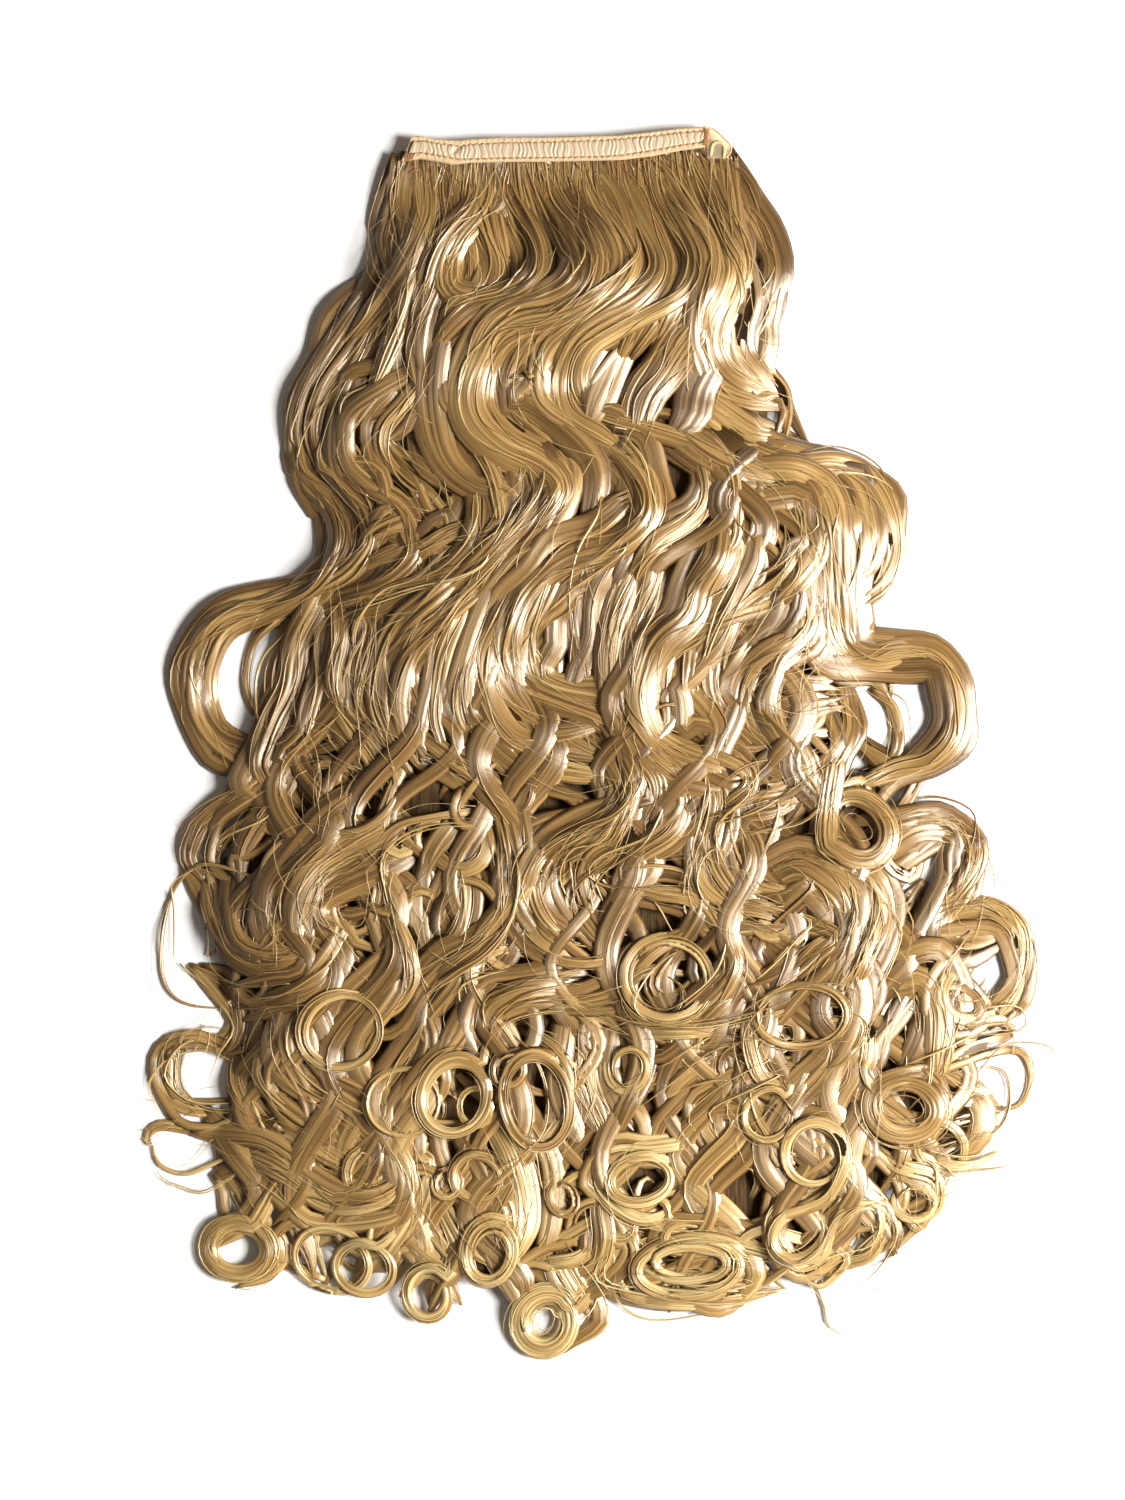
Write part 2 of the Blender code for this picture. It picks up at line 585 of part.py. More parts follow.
def add_boolean(item, operation, other):
    modifier = item.modifiers.new(operation.lower(), "BOOLEAN")
    modifier.operation = operation
    modifier.object = other
    modifier.solver = "EXACT"


def build_hair(group, helpers):
    pieces = [build_mass(helpers), *build_locks(helpers)]
    raw = join_meshes("raw hair", pieces, helpers)
    fuse = raw.modifiers.new("fuse", "REMESH")
    fuse.mode = "VOXEL"
    fuse.voxel_size = HAIR_VOXEL
    fused = evaluated_mesh(raw)
    bpy.data.objects.remove(raw, do_unlink=True)
    keep_outer_shell(fused)
    flatten_underside(fused, HAIR_VOXEL / 2)
    loose = mesh_object("loose hair", fused, helpers)
    thin = loose.modifiers.new("thin", "DECIMATE")
    thin.ratio = min(1.0, HAIR_FACETS / (2 * len(fused.polygons)))
    space = build_band_space(helpers)
    weft = build_weft(helpers)
    for helper in (space, weft):
        helper.display_type = "WIRE"
        helper.hide_render = True
    add_boolean(loose, "DIFFERENCE", space)
    add_boolean(loose, "UNION", weft)
    mesh = evaluated_mesh(loose)
    bpy.data.objects.remove(loose, do_unlink=True)
    keep_outer_shell(mesh)
    flatten_underside(mesh, CLEARANCE)
    return mesh_object("hair_fall", mesh, group)


def main():
    clear_scene()
    group = make_collection("ponytail_extension")
    helpers = make_collection("cutters")
    parts = [build_tape(group), build_panel(group), build_tab(group), build_clip(group),
             build_hair(group, helpers)]
    for part in parts:
        part.data.materials.clear()
        part.data.materials.append(make_finish(part.name))
        part.data.shade_smooth()
        part.data.set_sharp_from_angle(angle=pi / 6)


main()
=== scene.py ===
from math import cos, pi, radians, sin, sqrt

import bpy
import numpy as np
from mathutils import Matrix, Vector
from mathutils.bvhtree import BVHTree


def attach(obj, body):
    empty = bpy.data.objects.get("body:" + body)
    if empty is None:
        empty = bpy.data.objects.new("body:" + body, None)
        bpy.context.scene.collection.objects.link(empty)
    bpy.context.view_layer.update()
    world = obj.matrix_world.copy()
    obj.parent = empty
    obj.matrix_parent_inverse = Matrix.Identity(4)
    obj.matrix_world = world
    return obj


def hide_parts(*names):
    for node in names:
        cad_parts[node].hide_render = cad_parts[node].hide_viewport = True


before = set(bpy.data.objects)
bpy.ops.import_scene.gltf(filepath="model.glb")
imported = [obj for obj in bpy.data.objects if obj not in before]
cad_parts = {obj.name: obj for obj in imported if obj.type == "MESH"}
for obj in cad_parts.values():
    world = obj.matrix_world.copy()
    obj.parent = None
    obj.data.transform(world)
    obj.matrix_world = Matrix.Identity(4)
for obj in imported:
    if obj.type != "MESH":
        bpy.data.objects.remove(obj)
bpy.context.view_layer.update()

print("frame loaded:", ", ".join(sorted(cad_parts)))

# Where a pixel of the photo lies: metres a pixel, and the pixel at x = 0 and y = 0
photo = dict(pixel=0.0005, across=555, down=150)


def place(across, down):
    return (across - photo["across"]) * photo["pixel"], (photo["down"] - down) * photo["pixel"]


# Camera, light and floor

camera = dict(height=2.2, x=0.00375, y=-0.300, view=0.750, sensor=36)
light = dict(place=(2.05, -0.62, 1.30), aim=(0.0, -0.30, 0.0), size=1.25, power=212,
             colour=(1.0, 0.985, 0.96), fill=0.15, fillColour=(1.0, 0.86, 0.72))
paper = dict(size=8, place=(0, -0.3, -0.0004), colour=(0.90, 0.90, 0.90), roughness=0.9,
             specular=0.1)


def setStage():
    eye = bpy.data.objects.new("photoCamera", bpy.data.cameras.new("photoCamera"))
    eye.location = (camera["x"], camera["y"], camera["height"])
    eye.data.sensor_width = camera["sensor"]
    eye.data.lens = camera["sensor"] * camera["height"] / camera["view"]
    bpy.context.scene.collection.objects.link(eye)
    bpy.context.scene.camera = eye

    lamp = bpy.data.objects.new("softbox", bpy.data.lights.new("softbox", "AREA"))
    lamp.location = light["place"]
    toAim = Vector(light["aim"]) - Vector(light["place"])
    lamp.rotation_euler = toAim.to_track_quat("-Z", "Y").to_euler()
    lamp.data.size = light["size"]
    lamp.data.energy = light["power"]
    lamp.data.color = light["colour"]
    bpy.context.scene.collection.objects.link(lamp)

    world = bpy.data.worlds.new("studio")
    world.use_nodes = True
    sky = world.node_tree.nodes["Background"]
    sky.inputs["Color"].default_value = (*light["fillColour"], 1)
    sky.inputs["Strength"].default_value = light["fill"]
    bpy.context.scene.world = world
    bpy.context.scene.view_settings.view_transform = "Standard"

    for item in bpy.context.selected_objects:
        item.select_set(False)
    bpy.ops.mesh.primitive_plane_add(size=paper["size"], location=paper["place"])
    floor = bpy.context.object
    floor.name = "studioFloor"
    material = bpy.data.materials.new("floorPaper")
    material.use_nodes = True
    shader = material.node_tree.nodes["Principled BSDF"]
    shader.inputs["Base Color"].default_value = (*paper["colour"], 1)
    shader.inputs["Roughness"].default_value = paper["roughness"]
    shader.inputs["Specular IOR Level"].default_value = paper["specular"]
    floor.data.materials.append(material)
    print("stage set")


setStage()

# Materials

hairLook = dict(roughness=0.33, anisotropy=0.80, specular=0.85, bend=1.68, tint=(1.0, 0.90, 0.765),
                lines=5.0, streakDepth=0.95, bump=0.85, bumpDistance=0.00022,
                glow=0.12, glowReach=0.0025, paintedDeepShade=0.45, roughSpread=0.10)
# Three widths of fine hairs, from broad to narrow
streakRows = [
    dict(scale=1.0, drift=9.0, weight=0.34),
    dict(scale=2.6, drift=7.0, weight=0.36),
    dict(scale=6.0, drift=5.0, weight=0.30),
]
streakLook = dict(seed=91.7, roughness=0.6, least=0.38, most=0.62)
hairTones = [
    dict(at=0.00, colour=(0.045, 0.021, 0.006)),
    dict(at=0.25, colour=(0.108, 0.056, 0.016)),
    dict(at=0.50, colour=(0.252, 0.143, 0.045)),
    dict(at=0.75, colour=(0.420, 0.272, 0.096)),
    dict(at=1.00, colour=(0.610, 0.475, 0.230)),
]


def newMaterial(name):
    material = bpy.data.materials.new(name)
    material.use_nodes = True
    shader = material.node_tree.nodes["Principled BSDF"]
    return material, material.node_tree, shader


def addNode(tree, kind, **values):
    node = tree.nodes.new(kind)
    for key, value in values.items():
        setattr(node, key, value)
    return node


def mathNode(tree, operation, first, second=0.0, clamp=False):
    node = addNode(tree, "ShaderNodeMath", operation=operation, use_clamp=clamp)
    for socket, value in zip(node.inputs, (first, second)):
        if isinstance(value, (int, float)):
            socket.default_value = value
        else:
            tree.links.new(value, socket)
    return node.outputs[0]


def noiseNode(tree, vector, scale, detail=2.0, roughness=0.5):
    noise = addNode(tree, "ShaderNodeTexNoise")
    noise.inputs["Scale"].default_value = scale
    noise.inputs["Detail"].default_value = detail
    noise.inputs["Roughness"].default_value = roughness
    tree.links.new(vector, noise.inputs["Vector"])
    return noise.outputs["Fac"]


def mixColours(tree, shader, share, first, second):
    mix = addNode(tree, "ShaderNodeMix", data_type="RGBA")
    mix.inputs["A"].default_value = (*first, 1)
    mix.inputs["B"].default_value = (*second, 1)
    tree.links.new(share, mix.inputs["Factor"])
    tree.links.new(mix.outputs["Result"], shader.inputs["Base Color"])


def addBump(tree, shader, height, strength, distance):
    bump = addNode(tree, "ShaderNodeBump")
    bump.inputs["Strength"].default_value = strength
    bump.inputs["Distance"].default_value = distance
    tree.links.new(height, bump.inputs["Height"])
    tree.links.new(bump.outputs["Normal"], shader.inputs["Normal"])


def makeStreaks():
    # Fine hairs side by side: pale and dark lines that run along a strand
    group = bpy.data.node_groups.new("strandStreaks", "ShaderNodeTree")
    for name, value in (("Around", 0.0), ("Along", 0.0), ("Seed", 0.0),
                        ("Lines", hairLook["lines"])):
        socket = group.interface.new_socket(name, in_out="INPUT", socket_type="NodeSocketFloat")
        socket.default_value = value
    for name in ("Shade", "Height"):
        group.interface.new_socket(name, in_out="OUTPUT", socket_type="NodeSocketFloat")
    start = group.nodes.new("NodeGroupInput")
    end = group.nodes.new("NodeGroupOutput")
    shades = []
    for row in streakRows:
        spread = mathNode(group, "MULTIPLY", start.outputs["Around"], start.outputs["Lines"])
        spread = mathNode(group, "MULTIPLY", spread, row["scale"])
        run = mathNode(group, "MULTIPLY", start.outputs["Along"], row["drift"])
        shift = mathNode(group, "MULTIPLY", start.outputs["Seed"],
                         streakLook["seed"] * row["scale"])
        spot = addNode(group, "ShaderNodeCombineXYZ")
        for axis, value in (("X", spread), ("Y", run), ("Z", shift)):
            group.links.new(value, spot.inputs[axis])
        shade = noiseNode(group, spot.outputs[0], 1.0, roughness=streakLook["roughness"])
        shades.append(mathNode(group, "MULTIPLY", shade, row["weight"]))
    mixed = mathNode(group, "ADD", mathNode(group, "ADD", shades[0], shades[1]), shades[2])
    wide = addNode(group, "ShaderNodeMapRange")
    wide.inputs["From Min"].default_value = streakLook["least"]
    wide.inputs["From Max"].default_value = streakLook["most"]
    group.links.new(mixed, wide.inputs["Value"])
    group.links.new(wide.outputs["Result"], end.inputs["Shade"])
    group.links.new(mixed, end.inputs["Height"])
    return group


streaks = makeStreaks()


def makeHairMaterial(name):
    material, tree, shader = newMaterial(name)
    for socket, value in (("Anisotropic", hairLook["anisotropy"]),
                          ("Specular IOR Level", hairLook["specular"]),
                          ("IOR", hairLook["bend"]),
                          ("Subsurface Weight", hairLook["glow"]),
                          ("Subsurface Scale", hairLook["glowReach"]),
                          ("Specular Tint", (*hairLook["tint"], 1))):
        shader.inputs[socket].default_value = value
    strand = addNode(tree, "ShaderNodeAttribute", attribute_name="strand")
    parts = addNode(tree, "ShaderNodeSeparateColor")
    tree.links.new(strand.outputs["Color"], parts.inputs["Color"])
    hairMap = addNode(tree, "ShaderNodeUVMap", uv_map="hairMap")
    spot = addNode(tree, "ShaderNodeSeparateXYZ")
    tree.links.new(hairMap.outputs["UV"], spot.inputs["Vector"])
    lines = addNode(tree, "ShaderNodeGroup", node_tree=streaks)
    tree.links.new(spot.outputs["X"], lines.inputs["Around"])
    tree.links.new(spot.outputs["Y"], lines.inputs["Along"])
    tree.links.new(parts.outputs["Green"], lines.inputs["Seed"])
    ramp = addNode(tree, "ShaderNodeValToRGB")
    elements = ramp.color_ramp.elements
    for element, tone in zip((elements[0], elements[1]), (hairTones[0], hairTones[-1])):
        element.position = tone["at"]
        element.color = (*tone["colour"], 1)
    for tone in hairTones[1:-1]:
        element = elements.new(tone["at"])
        element.color = (*tone["colour"], 1)
    # tone of the strand, moved by its streaks and darkened by painted shade where it lies deep
    shift = mathNode(tree, "MULTIPLY", mathNode(tree, "SUBTRACT", lines.outputs["Shade"], 0.5),
                     hairLook["streakDepth"] * 0.5)
    tone = mathNode(tree, "ADD", parts.outputs["Red"], shift)
    darker = mathNode(tree, "MULTIPLY", parts.outputs["Blue"], hairLook["paintedDeepShade"])
    tone = mathNode(tree, "SUBTRACT", tone, darker, clamp=True)
    tree.links.new(tone, ramp.inputs["Fac"])
    tree.links.new(ramp.outputs["Color"], shader.inputs["Base Color"])
    spread = mathNode(tree, "MULTIPLY", lines.outputs["Shade"], hairLook["roughSpread"])
    rough = mathNode(tree, "ADD", hairLook["roughness"] - hairLook["roughSpread"] / 2, spread)
    tree.links.new(rough, shader.inputs["Roughness"])
    addBump(tree, shader, lines.outputs["Height"], hairLook["bump"], hairLook["bumpDistance"])
    tangent = addNode(tree, "ShaderNodeTangent", direction_type="UV_MAP", uv_map="hairMap")
    tree.links.new(tangent.outputs["Tangent"], shader.inputs["Tangent"])
    return material


hairMaterial = makeHairMaterial("blondeHair")

# Height field: how high the hair already lies, in square cells over the whole piece

field = dict(cell=0.002, left=-0.27, right=0.27, low=-0.67, high=0.03, support=0.76, sink=0.0025,
             ceiling=0.0415, soften=0.030, above=0.1, rim=2, blur=3, fadeFrom=-0.004, fadeOver=0.060)


def cadHeights():
    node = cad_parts["hair_fall"]
    corners = [point.co for point in node.data.vertices]
    faces = [face.vertices[:] for face in node.data.polygons]
    tree = BVHTree.FromPolygons(corners, faces)
    columns = round((field["right"] - field["left"]) / field["cell"])
    rows = round((field["high"] - field["low"]) / field["cell"])
    heights = np.zeros((rows, columns))
    for row in range(rows):
        y = field["low"] + (row + 0.5) * field["cell"]
        for column in range(columns):
            x = field["left"] + (column + 0.5) * field["cell"]
            hit = tree.ray_cast((x, y, field["above"]), (0, 0, -1))[0]
            if hit is not None:
                heights[row, column] = hit.z
    return heights


def shifted(grid, rows, columns):
    return np.roll(np.roll(grid, rows, axis=0), columns, axis=1)


def neighbours(reach):
    return [(r, c) for r in range(-reach, reach + 1) for c in range(-reach, reach + 1)
            if r * r + c * c <= reach * reach]


def blurred(grid, times):
    for _ in range(times):
        grid = (grid * 4 + shifted(grid, 1, 0) + shifted(grid, -1, 0)
                + shifted(grid, 0, 1) + shifted(grid, 0, -1)) / 8
    return grid


def cellOf(x, y):
    column = ((np.asarray(x) - field["left"]) / field["cell"]).astype(int)
    row = ((np.asarray(y) - field["low"]) / field["cell"]).astype(int)
    return (np.clip(row, 0, pile.shape[0] - 1), np.clip(column, 0, pile.shape[1] - 1))


solidTop = cadHeights()
inner = np.min([shifted(solidTop, r, c) for r, c in neighbours(field["rim"])], axis=0)
inner = blurred(inner, field["blur"])
support = np.maximum(inner * field["support"] - field["sink"], 0)
rowAt = field["low"] + (np.arange(len(support)) + 0.5) * field["cell"]
support *= np.clip((field["fadeFrom"] - rowAt) / field["fadeOver"], 0, 1)[:, None]
pile = support.copy()
print("height field read from the frame")

# Strands: closed flattened tubes, gathered in one mesh for each piece

dice = np.random.default_rng(7)
curve = dict(samples=14, smoothing=6, fewest=3)


def newBundle(name, sides):
    return dict(name=name, sides=sides, corners=[], tones=[], maps=[], rings=[], triangles=0)


def smoothPath(points, step):
    points = np.array(points, float)
    ends = np.vstack([2 * points[0] - points[1], points, 2 * points[-1] - points[-2]])
    pieces = []
    t = np.linspace(0, 1, curve["samples"], endpoint=False)[:, None]
    for a, b, c, d in zip(ends, ends[1:], ends[2:], ends[3:]):
        pieces.append(0.5 * (2 * b + (c - a) * t + (2 * a - 5 * b + 4 * c - d) * t**2
                             + (3 * b - a - 3 * c + d) * t**3))
    line = np.vstack([*pieces, points[-1:]])
    for _ in range(curve["smoothing"]):
        line[1:-1] = (line[:-2] + 2 * line[1:-1] + line[2:]) / 4
    reach = np.concatenate([[0], np.cumsum(np.linalg.norm(np.diff(line, axis=0), axis=1))])
    count = max(int(reach[-1] / step), curve["fewest"])
    at = np.linspace(0, reach[-1], count + 1)
    return np.stack([np.interp(at, reach, line[:, k]) for k in range(line.shape[1])], axis=1)


def directions(line):
    ahead = np.gradient(line, axis=0)
    return ahead / np.maximum(np.linalg.norm(ahead, axis=1, keepdims=True), 1e-9)


def addTube(bundle, rings, tone, depth, around):
    # rings: points along, then round. around: where each side starts across the strand
    count, sides = rings.shape[:2]
    colours = np.ones((count, sides, 4), np.float32)
    colours[:, :, 0] = tone
    colours[:, :, 1] = dice.random()
    # blue channel: painted shade, how much darker the strand is made for lying deep
    colours[:, :, 2] = depth
    middle = rings.mean(axis=1)
    along = np.concatenate([[0], np.cumsum(np.linalg.norm(np.diff(middle, axis=0), axis=1))])
    bundle["corners"].append(rings.reshape(-1, 3))
    bundle["tones"].append(colours.reshape(-1, 4))
    bundle["maps"].append((np.asarray(around), along))
    bundle["rings"].append((count, sides))
    bundle["triangles"] += 2 * sides * (count - 1) + 2 * (sides - 2)


def addStrand(bundle, line, wide, high, tone, depth, roll=0.0):
    # line: points along the strand. wide and high: half sizes at each point
    ahead = directions(line)
    side = np.stack([-ahead[:, 1], ahead[:, 0], np.zeros(len(line))], axis=1)
    side /= np.maximum(np.linalg.norm(side, axis=1, keepdims=True), 1e-9)
    up = np.cross(ahead, side)
    turned = side * cos(roll) - up * sin(roll)
    up = up * cos(roll) + side * sin(roll)
    sides = bundle["sides"]
    turn = np.arange(sides) * 2 * pi / sides
    rings = (line[:, None, :] + turned[:, None, :] * (wide[:, None] * np.cos(turn))[:, :, None]
             + up[:, None, :] * (high[:, None] * np.sin(turn))[:, :, None])
    tone = np.broadcast_to(tone, len(line))[:, None]
    addTube(bundle, rings, tone, depth, np.arange(sides + 1) / sides)


def finishBundle(bundle, material):
    loops, sizes, maps = [], [], []
    first = 0
    for (count, sides), (around, along) in zip(bundle["rings"], bundle["maps"]):
        i = np.arange(count - 1)[:, None]
        j = np.arange(sides)[None, :]
        k = (j + 1) % sides
        quads = np.stack([first + i * sides + j, first + i * sides + k,
                          first + (i + 1) * sides + k, first + (i + 1) * sides + j], axis=2)
        u = np.broadcast_to(around[:-1], (count - 1, sides))
        far = np.broadcast_to(around[1:], (count - 1, sides))
        v = np.broadcast_to(along[:-1, None], (count - 1, sides))
        w = np.broadcast_to(along[1:, None], (count - 1, sides))
        maps.append(np.stack([u, v, far, v, far, w, u, w], axis=2).reshape(-1, 2))
        loops.append(quads.ravel())
        sizes.append(np.full(quads.size // 4, 4))
        for cap, end in ((first + np.arange(sides)[::-1], along[0]),
                         (first + (count - 1) * sides + np.arange(sides), along[-1])):
            loops.append(cap)
            sizes.append([sides])
            maps.append(np.stack([around[:-1], np.full(sides, end)], axis=1))
        first += count * sides
    loops = np.concatenate(loops)
    sizes = np.concatenate(sizes)
    starts = np.concatenate([[0], np.cumsum(sizes)[:-1]])
    mesh = bpy.data.meshes.new(bundle["name"])
    mesh.vertices.add(first)
    mesh.loops.add(len(loops))
    mesh.polygons.add(len(starts))
    mesh.vertices.foreach_set("co", np.vstack(bundle["corners"]).astype(np.float32).ravel())
    mesh.loops.foreach_set("vertex_index", loops.astype(np.int32))
    mesh.polygons.foreach_set("loop_start", starts.astype(np.int32))
    mesh.update(calc_edges=True)
    hairMap = mesh.uv_layers.new(name="hairMap")
    hairMap.data.foreach_set("uv", np.vstack(maps).astype(np.float32).ravel())
    strand = mesh.attributes.new("strand", "FLOAT_COLOR", "POINT")
    strand.data.foreach_set("color", np.vstack(bundle["tones"]).ravel())
    mesh.shade_smooth()
    mesh.materials.append(material)
    item = bpy.data.objects.new(bundle["name"], mesh)
    bpy.context.scene.collection.objects.link(item)
    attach(item, "root")
    print(f"{bundle['name']}: {len(bundle['rings'])} strands, {bundle['triangles']} triangles")
    return item


# Locks laid over what lies there already

layer = dict(column=0.00062, step=0.0034, thick=0.21, least=0.0015, most=0.0037, settle=0.30,
             sway=0.0008, beatLeast=0.040, beatMost=0.075, relief=0.0030, drape=0.50,
             drift=0.13, rootHeight=0.0034, rootReach=0.038, tuck=0.0055, endTuck=0.7,
             tuckLength=0.030, closing=0.026, closed=0.16, opening=0.25, full=(0.12, 0.7),
             mapScale=330, hidden=26, hiddenEnd=0.6, thinner=0.45, over=0.0003,
             crownPower=0.6, crown=0.75, floor=0.0005, crownFloor=0.7)
# Smaller locks, ridges and grooves on the body of a lock
carve = dict(ridge=0.00016, ridgeSpread=0.5, groove=0.00035, grooveFrom=0.9, partWide=8.5,
             partFiner=3.5, valley=0.00075, valleyFiner=0.35, shift=0.10, columnShift=0.05,
             valleyShare=0.75, valleyNoise=0.5, rim=1.15)
# Tones over the body of a lock: random spread and drift, and painted shade at its edges, in its
# grooves and in the valleys between its parts
shade = dict(spread=0.075, drift=0.060, edge=0.10, groove=0.26, valley=0.15, lock=0.02,
             paintedEdgeShade=0.04)
# Single strands over the body of a lock. depth: the share of the lock's painted shade that they get
fibre = dict(every=7.5, finer=4.7, beyond=0.5, half=0.00042, thinner=0.30, flat=0.45,
             drift=0.30, least=0.45, most=1.15, splay=0.45, splayPower=5, reach=1.15,
             lift=0.00022, tipLength=0.024, tipShare=0.16, tone=0.09, paler=0.02, roll=0.4,
             depth=0.8, shortest=5)

# Tone down the length: darker olive by the band, pale at the ends
toneDown = [
    dict(down=150, tone=0.41),
    dict(down=230, tone=0.465),
    dict(down=320, tone=0.53),
    dict(down=520, tone=0.545),
    dict(down=720, tone=0.525),
    dict(down=1000, tone=0.56),
    dict(down=1120, tone=0.66),
    dict(down=1300, tone=0.76),
]

# Down the photo at places across it: the band's edges and its two rows of stitches
bandRows = [
    dict(across=402, top=137, upper=143, lower=156, bottom=163),
    dict(across=420, top=138, upper=142.5, lower=154.5, bottom=160.5),
    dict(across=433, top=140, upper=144.5, lower=156.5, bottom=162.5),
    dict(across=450, top=141.3, upper=146.5, lower=159.5, bottom=165.8),
    dict(across=459, top=141.3, upper=148, lower=161, bottom=165.5),
    dict(across=470, top=140.3, upper=146, lower=160.8, bottom=164.3),
    dict(across=500, top=138.5, upper=144.5, lower=159.8, bottom=163.5),
    dict(across=550, top=138.4, upper=143.6, lower=159.3, bottom=163),
    dict(across=600, top=137, upper=142, lower=158.5, bottom=162),
    dict(across=620, top=136.5, upper=140.5, lower=157, bottom=161.5),
    dict(across=650, top=133, upper=138, lower=152.5, bottom=158),
    dict(across=680, top=129.5, upper=134, lower=147, bottom=152),
    dict(across=705, top=128.5, upper=132.5, lower=143.5, bottom=149),
]


def between(rows, key, column, at):
    return np.interp(at, [row[key] for row in rows], [row[column] for row in rows])


def bandLow(x):
    across = np.asarray(x) / photo["pixel"] + photo["across"]
    return place(0, between(bandRows, "across", "bottom", across))[1]


def heightUnder(line, side, half):
    samples = []
    for share in (-0.9, -0.45, 0.0, 0.45, 0.9):
        spots = line[:, :2] + side * (half * share)[:, None]
        samples.append(pile[cellOf(spots[:, 0], spots[:, 1])])
    samples = np.sort(np.array(samples), axis=0)
    return samples[-1] * 0.5 + samples[-2] * 0.3 + samples[-3] * 0.2


def eased(values, reach, times):
    wide = np.pad(values, reach, mode="edge")
    high = np.max([wide[k:k + len(values)] for k in range(2 * reach + 1)], axis=0)
    for _ in range(times):
        high[1:-1] = (high[:-2] + 2 * high[1:-1] + high[2:]) / 4
    return high


def flatSide(line):
    ahead = directions(line[:, :2])
    return np.stack([-ahead[:, 1], ahead[:, 0]], axis=1)


bandFoot = 170  # a lock that starts above this leaves the band


def slowNoise(count, columns, beat):
    # random values that change slowly along, one run for each column
    knots = max(int(count / beat) + 2, 2)
    values = dice.normal(0, 1, (knots, columns))
    at = np.linspace(0, knots - 1, count)
    low = np.minimum(at.astype(int), knots - 2)
    part = (at - low)[:, None]
    part = part * part * (3 - 2 * part)
    return values[low] * (1 - part) + values[low + 1] * part


def softened(grid, along, across):
    for _ in range(along):
        grid[1:-1] = (grid[:-2] + 2 * grid[1:-1] + grid[2:]) / 4
    for _ in range(across):
        grid[:, 1:-1] = (grid[:, :-2] + 2 * grid[:, 1:-1] + grid[:, 2:]) / 4
    return grid


def capped(height):
    over = height - field["soften"]
    height = np.where(over > 0, field["soften"] + over * 0.5, height)
    return np.minimum(height, field["ceiling"] - 0.001)


def onward(before, last, far):
    # the point that lies far past the last one
    run = sqrt((last[0] - before[0])**2 + (last[1] - before[1])**2) + 0.001
    return (last[0] + (last[0] - before[0]) * far / run, last[1] + (last[1] - before[1]) * far / run)


def lockPoints(points, rooted, dive):
    # both ends go on for a stretch inside the hair, where there is hair
    before = onward(points[1], points[0], layer["hidden"])
    if not rooted and solidAt(*before) > fill["inside"]:
        points = [before, *points]
    after = onward(points[-2], points[-1], layer["hidden"] * layer["hiddenEnd"])
    dive = dive and solidAt(*after) > fill["inside"]
    if dive:
        points = [*points, after]
    return points, dive


def lockWidths(wide, share, reach, start, tip, rooted):
    # full: half the width that it would have. closing: how far its ends draw in
    full = (wide * photo["pixel"] / 2
            * np.interp(share, [0, *layer["full"], 1], [start, 1, 1, tip]))
    closing = np.clip((reach[-1] - reach) / layer["closing"], 0, 1)
    if not rooted:
        closing = np.minimum(closing, np.clip(reach / layer["closing"] + layer["opening"], 0, 1))
    return full, layer["closed"] + (1 - layer["closed"]) * closing * (2 - closing)


def lockHeights(line, side, half, reach, lift, relief, sway):
    # base: height down its middle. free: 0 at the band, 1 where it lies on the heap
    rest = eased(heightUnder(line, side, half), 2, 6)
    beat = dice.uniform(layer["beatLeast"], layer["beatMost"])
    wave = sway * layer["sway"] * np.sin(reach * 2 * pi / beat + dice.uniform(0, 6.28))
    # like a coil pressed flat, it lies high where it runs to the lower left
    ahead = directions(line[:, :2])
    coil = softened(2 * ahead[:, :1] * ahead[:, 1:], 4, 0)[:, 0]
    wave = wave + relief * layer["relief"] * coil
    below = bandLow(line[:, 0]) - line[:, 1]
    wave = wave * np.clip(below / (2 * layer["rootReach"]), 0, 1)
    free = np.clip(below / layer["rootReach"], 0, 1)
    return rest + lift + wave, free * free * (3 - 2 * free)


def tuckedEnds(z, reach, rooted, dive):
    if not rooted:
        sunk = np.clip(1 - reach / layer["tuckLength"], 0, 1)**1.5
        z = z - layer["tuck"] * sunk[:, None]
    if dive:
        sunk = np.clip(1 - (reach[-1] - reach) / layer["tuckLength"], 0, 1)**1.5
        z = z - layer["endTuck"] * layer["tuck"] * sunk[:, None]
    return z


def carvedRelief(offset, wide, fine):
    # smaller locks side by side, with a valley between each two, and ridges and grooves
    count, columns = offset.shape
    parts = max(1, round(wide / (carve["partWide"] - carve["partFiner"] * fine)))
    valley = carve["valley"] * (1 - carve["valleyFiner"] * fine)
    shifts = (carve["shift"] * slowNoise(count, 1, 10)
              + carve["columnShift"] * slowNoise(count, columns, 14))
    valleys = (1 - np.abs(np.sin(pi * parts * (0.5 - offset / 2 + shifts / sqrt(parts)))))**3
    valleys = valleys * np.clip(carve["valleyShare"]
                                + carve["valleyNoise"] * slowNoise(count, 1, 8), 0, 1)
    ridges = dice.normal(0, carve["ridgeSpread"], columns) + slowNoise(count, columns, 10)
    grooves = np.clip(-slowNoise(count, columns, 12) - carve["grooveFrom"], 0, 1)
    relief = carve["ridge"] * ridges - carve["groove"] * grooves - valley * valleys
    return relief, grooves, valleys


def bodyTones(tone, offset, grooves, valleys):
    count, columns = offset.shape
    # random tone along and across, plus painted shade: darker at the lock's edges, in its grooves
    # and in the valleys between its parts
    return (tone[:, None] + dice.normal(0, shade["spread"], columns)
            + shade["drift"] * slowNoise(count, columns, 16)
            + shade["drift"] * slowNoise(count, 1, 12) - shade["edge"] * offset**4
            - shade["groove"] * grooves - shade["valley"] * valleys)


def strandTaper(row, first, last, step):
    taper = np.clip((last - 1 - row) * step / fibre["tipLength"], 0, 1)
    if first:
        taper = np.minimum(taper, np.clip((row - first) * step / fibre["tipLength"], 0, 1))
    return fibre["tipShare"] * (1 - taper) + taper


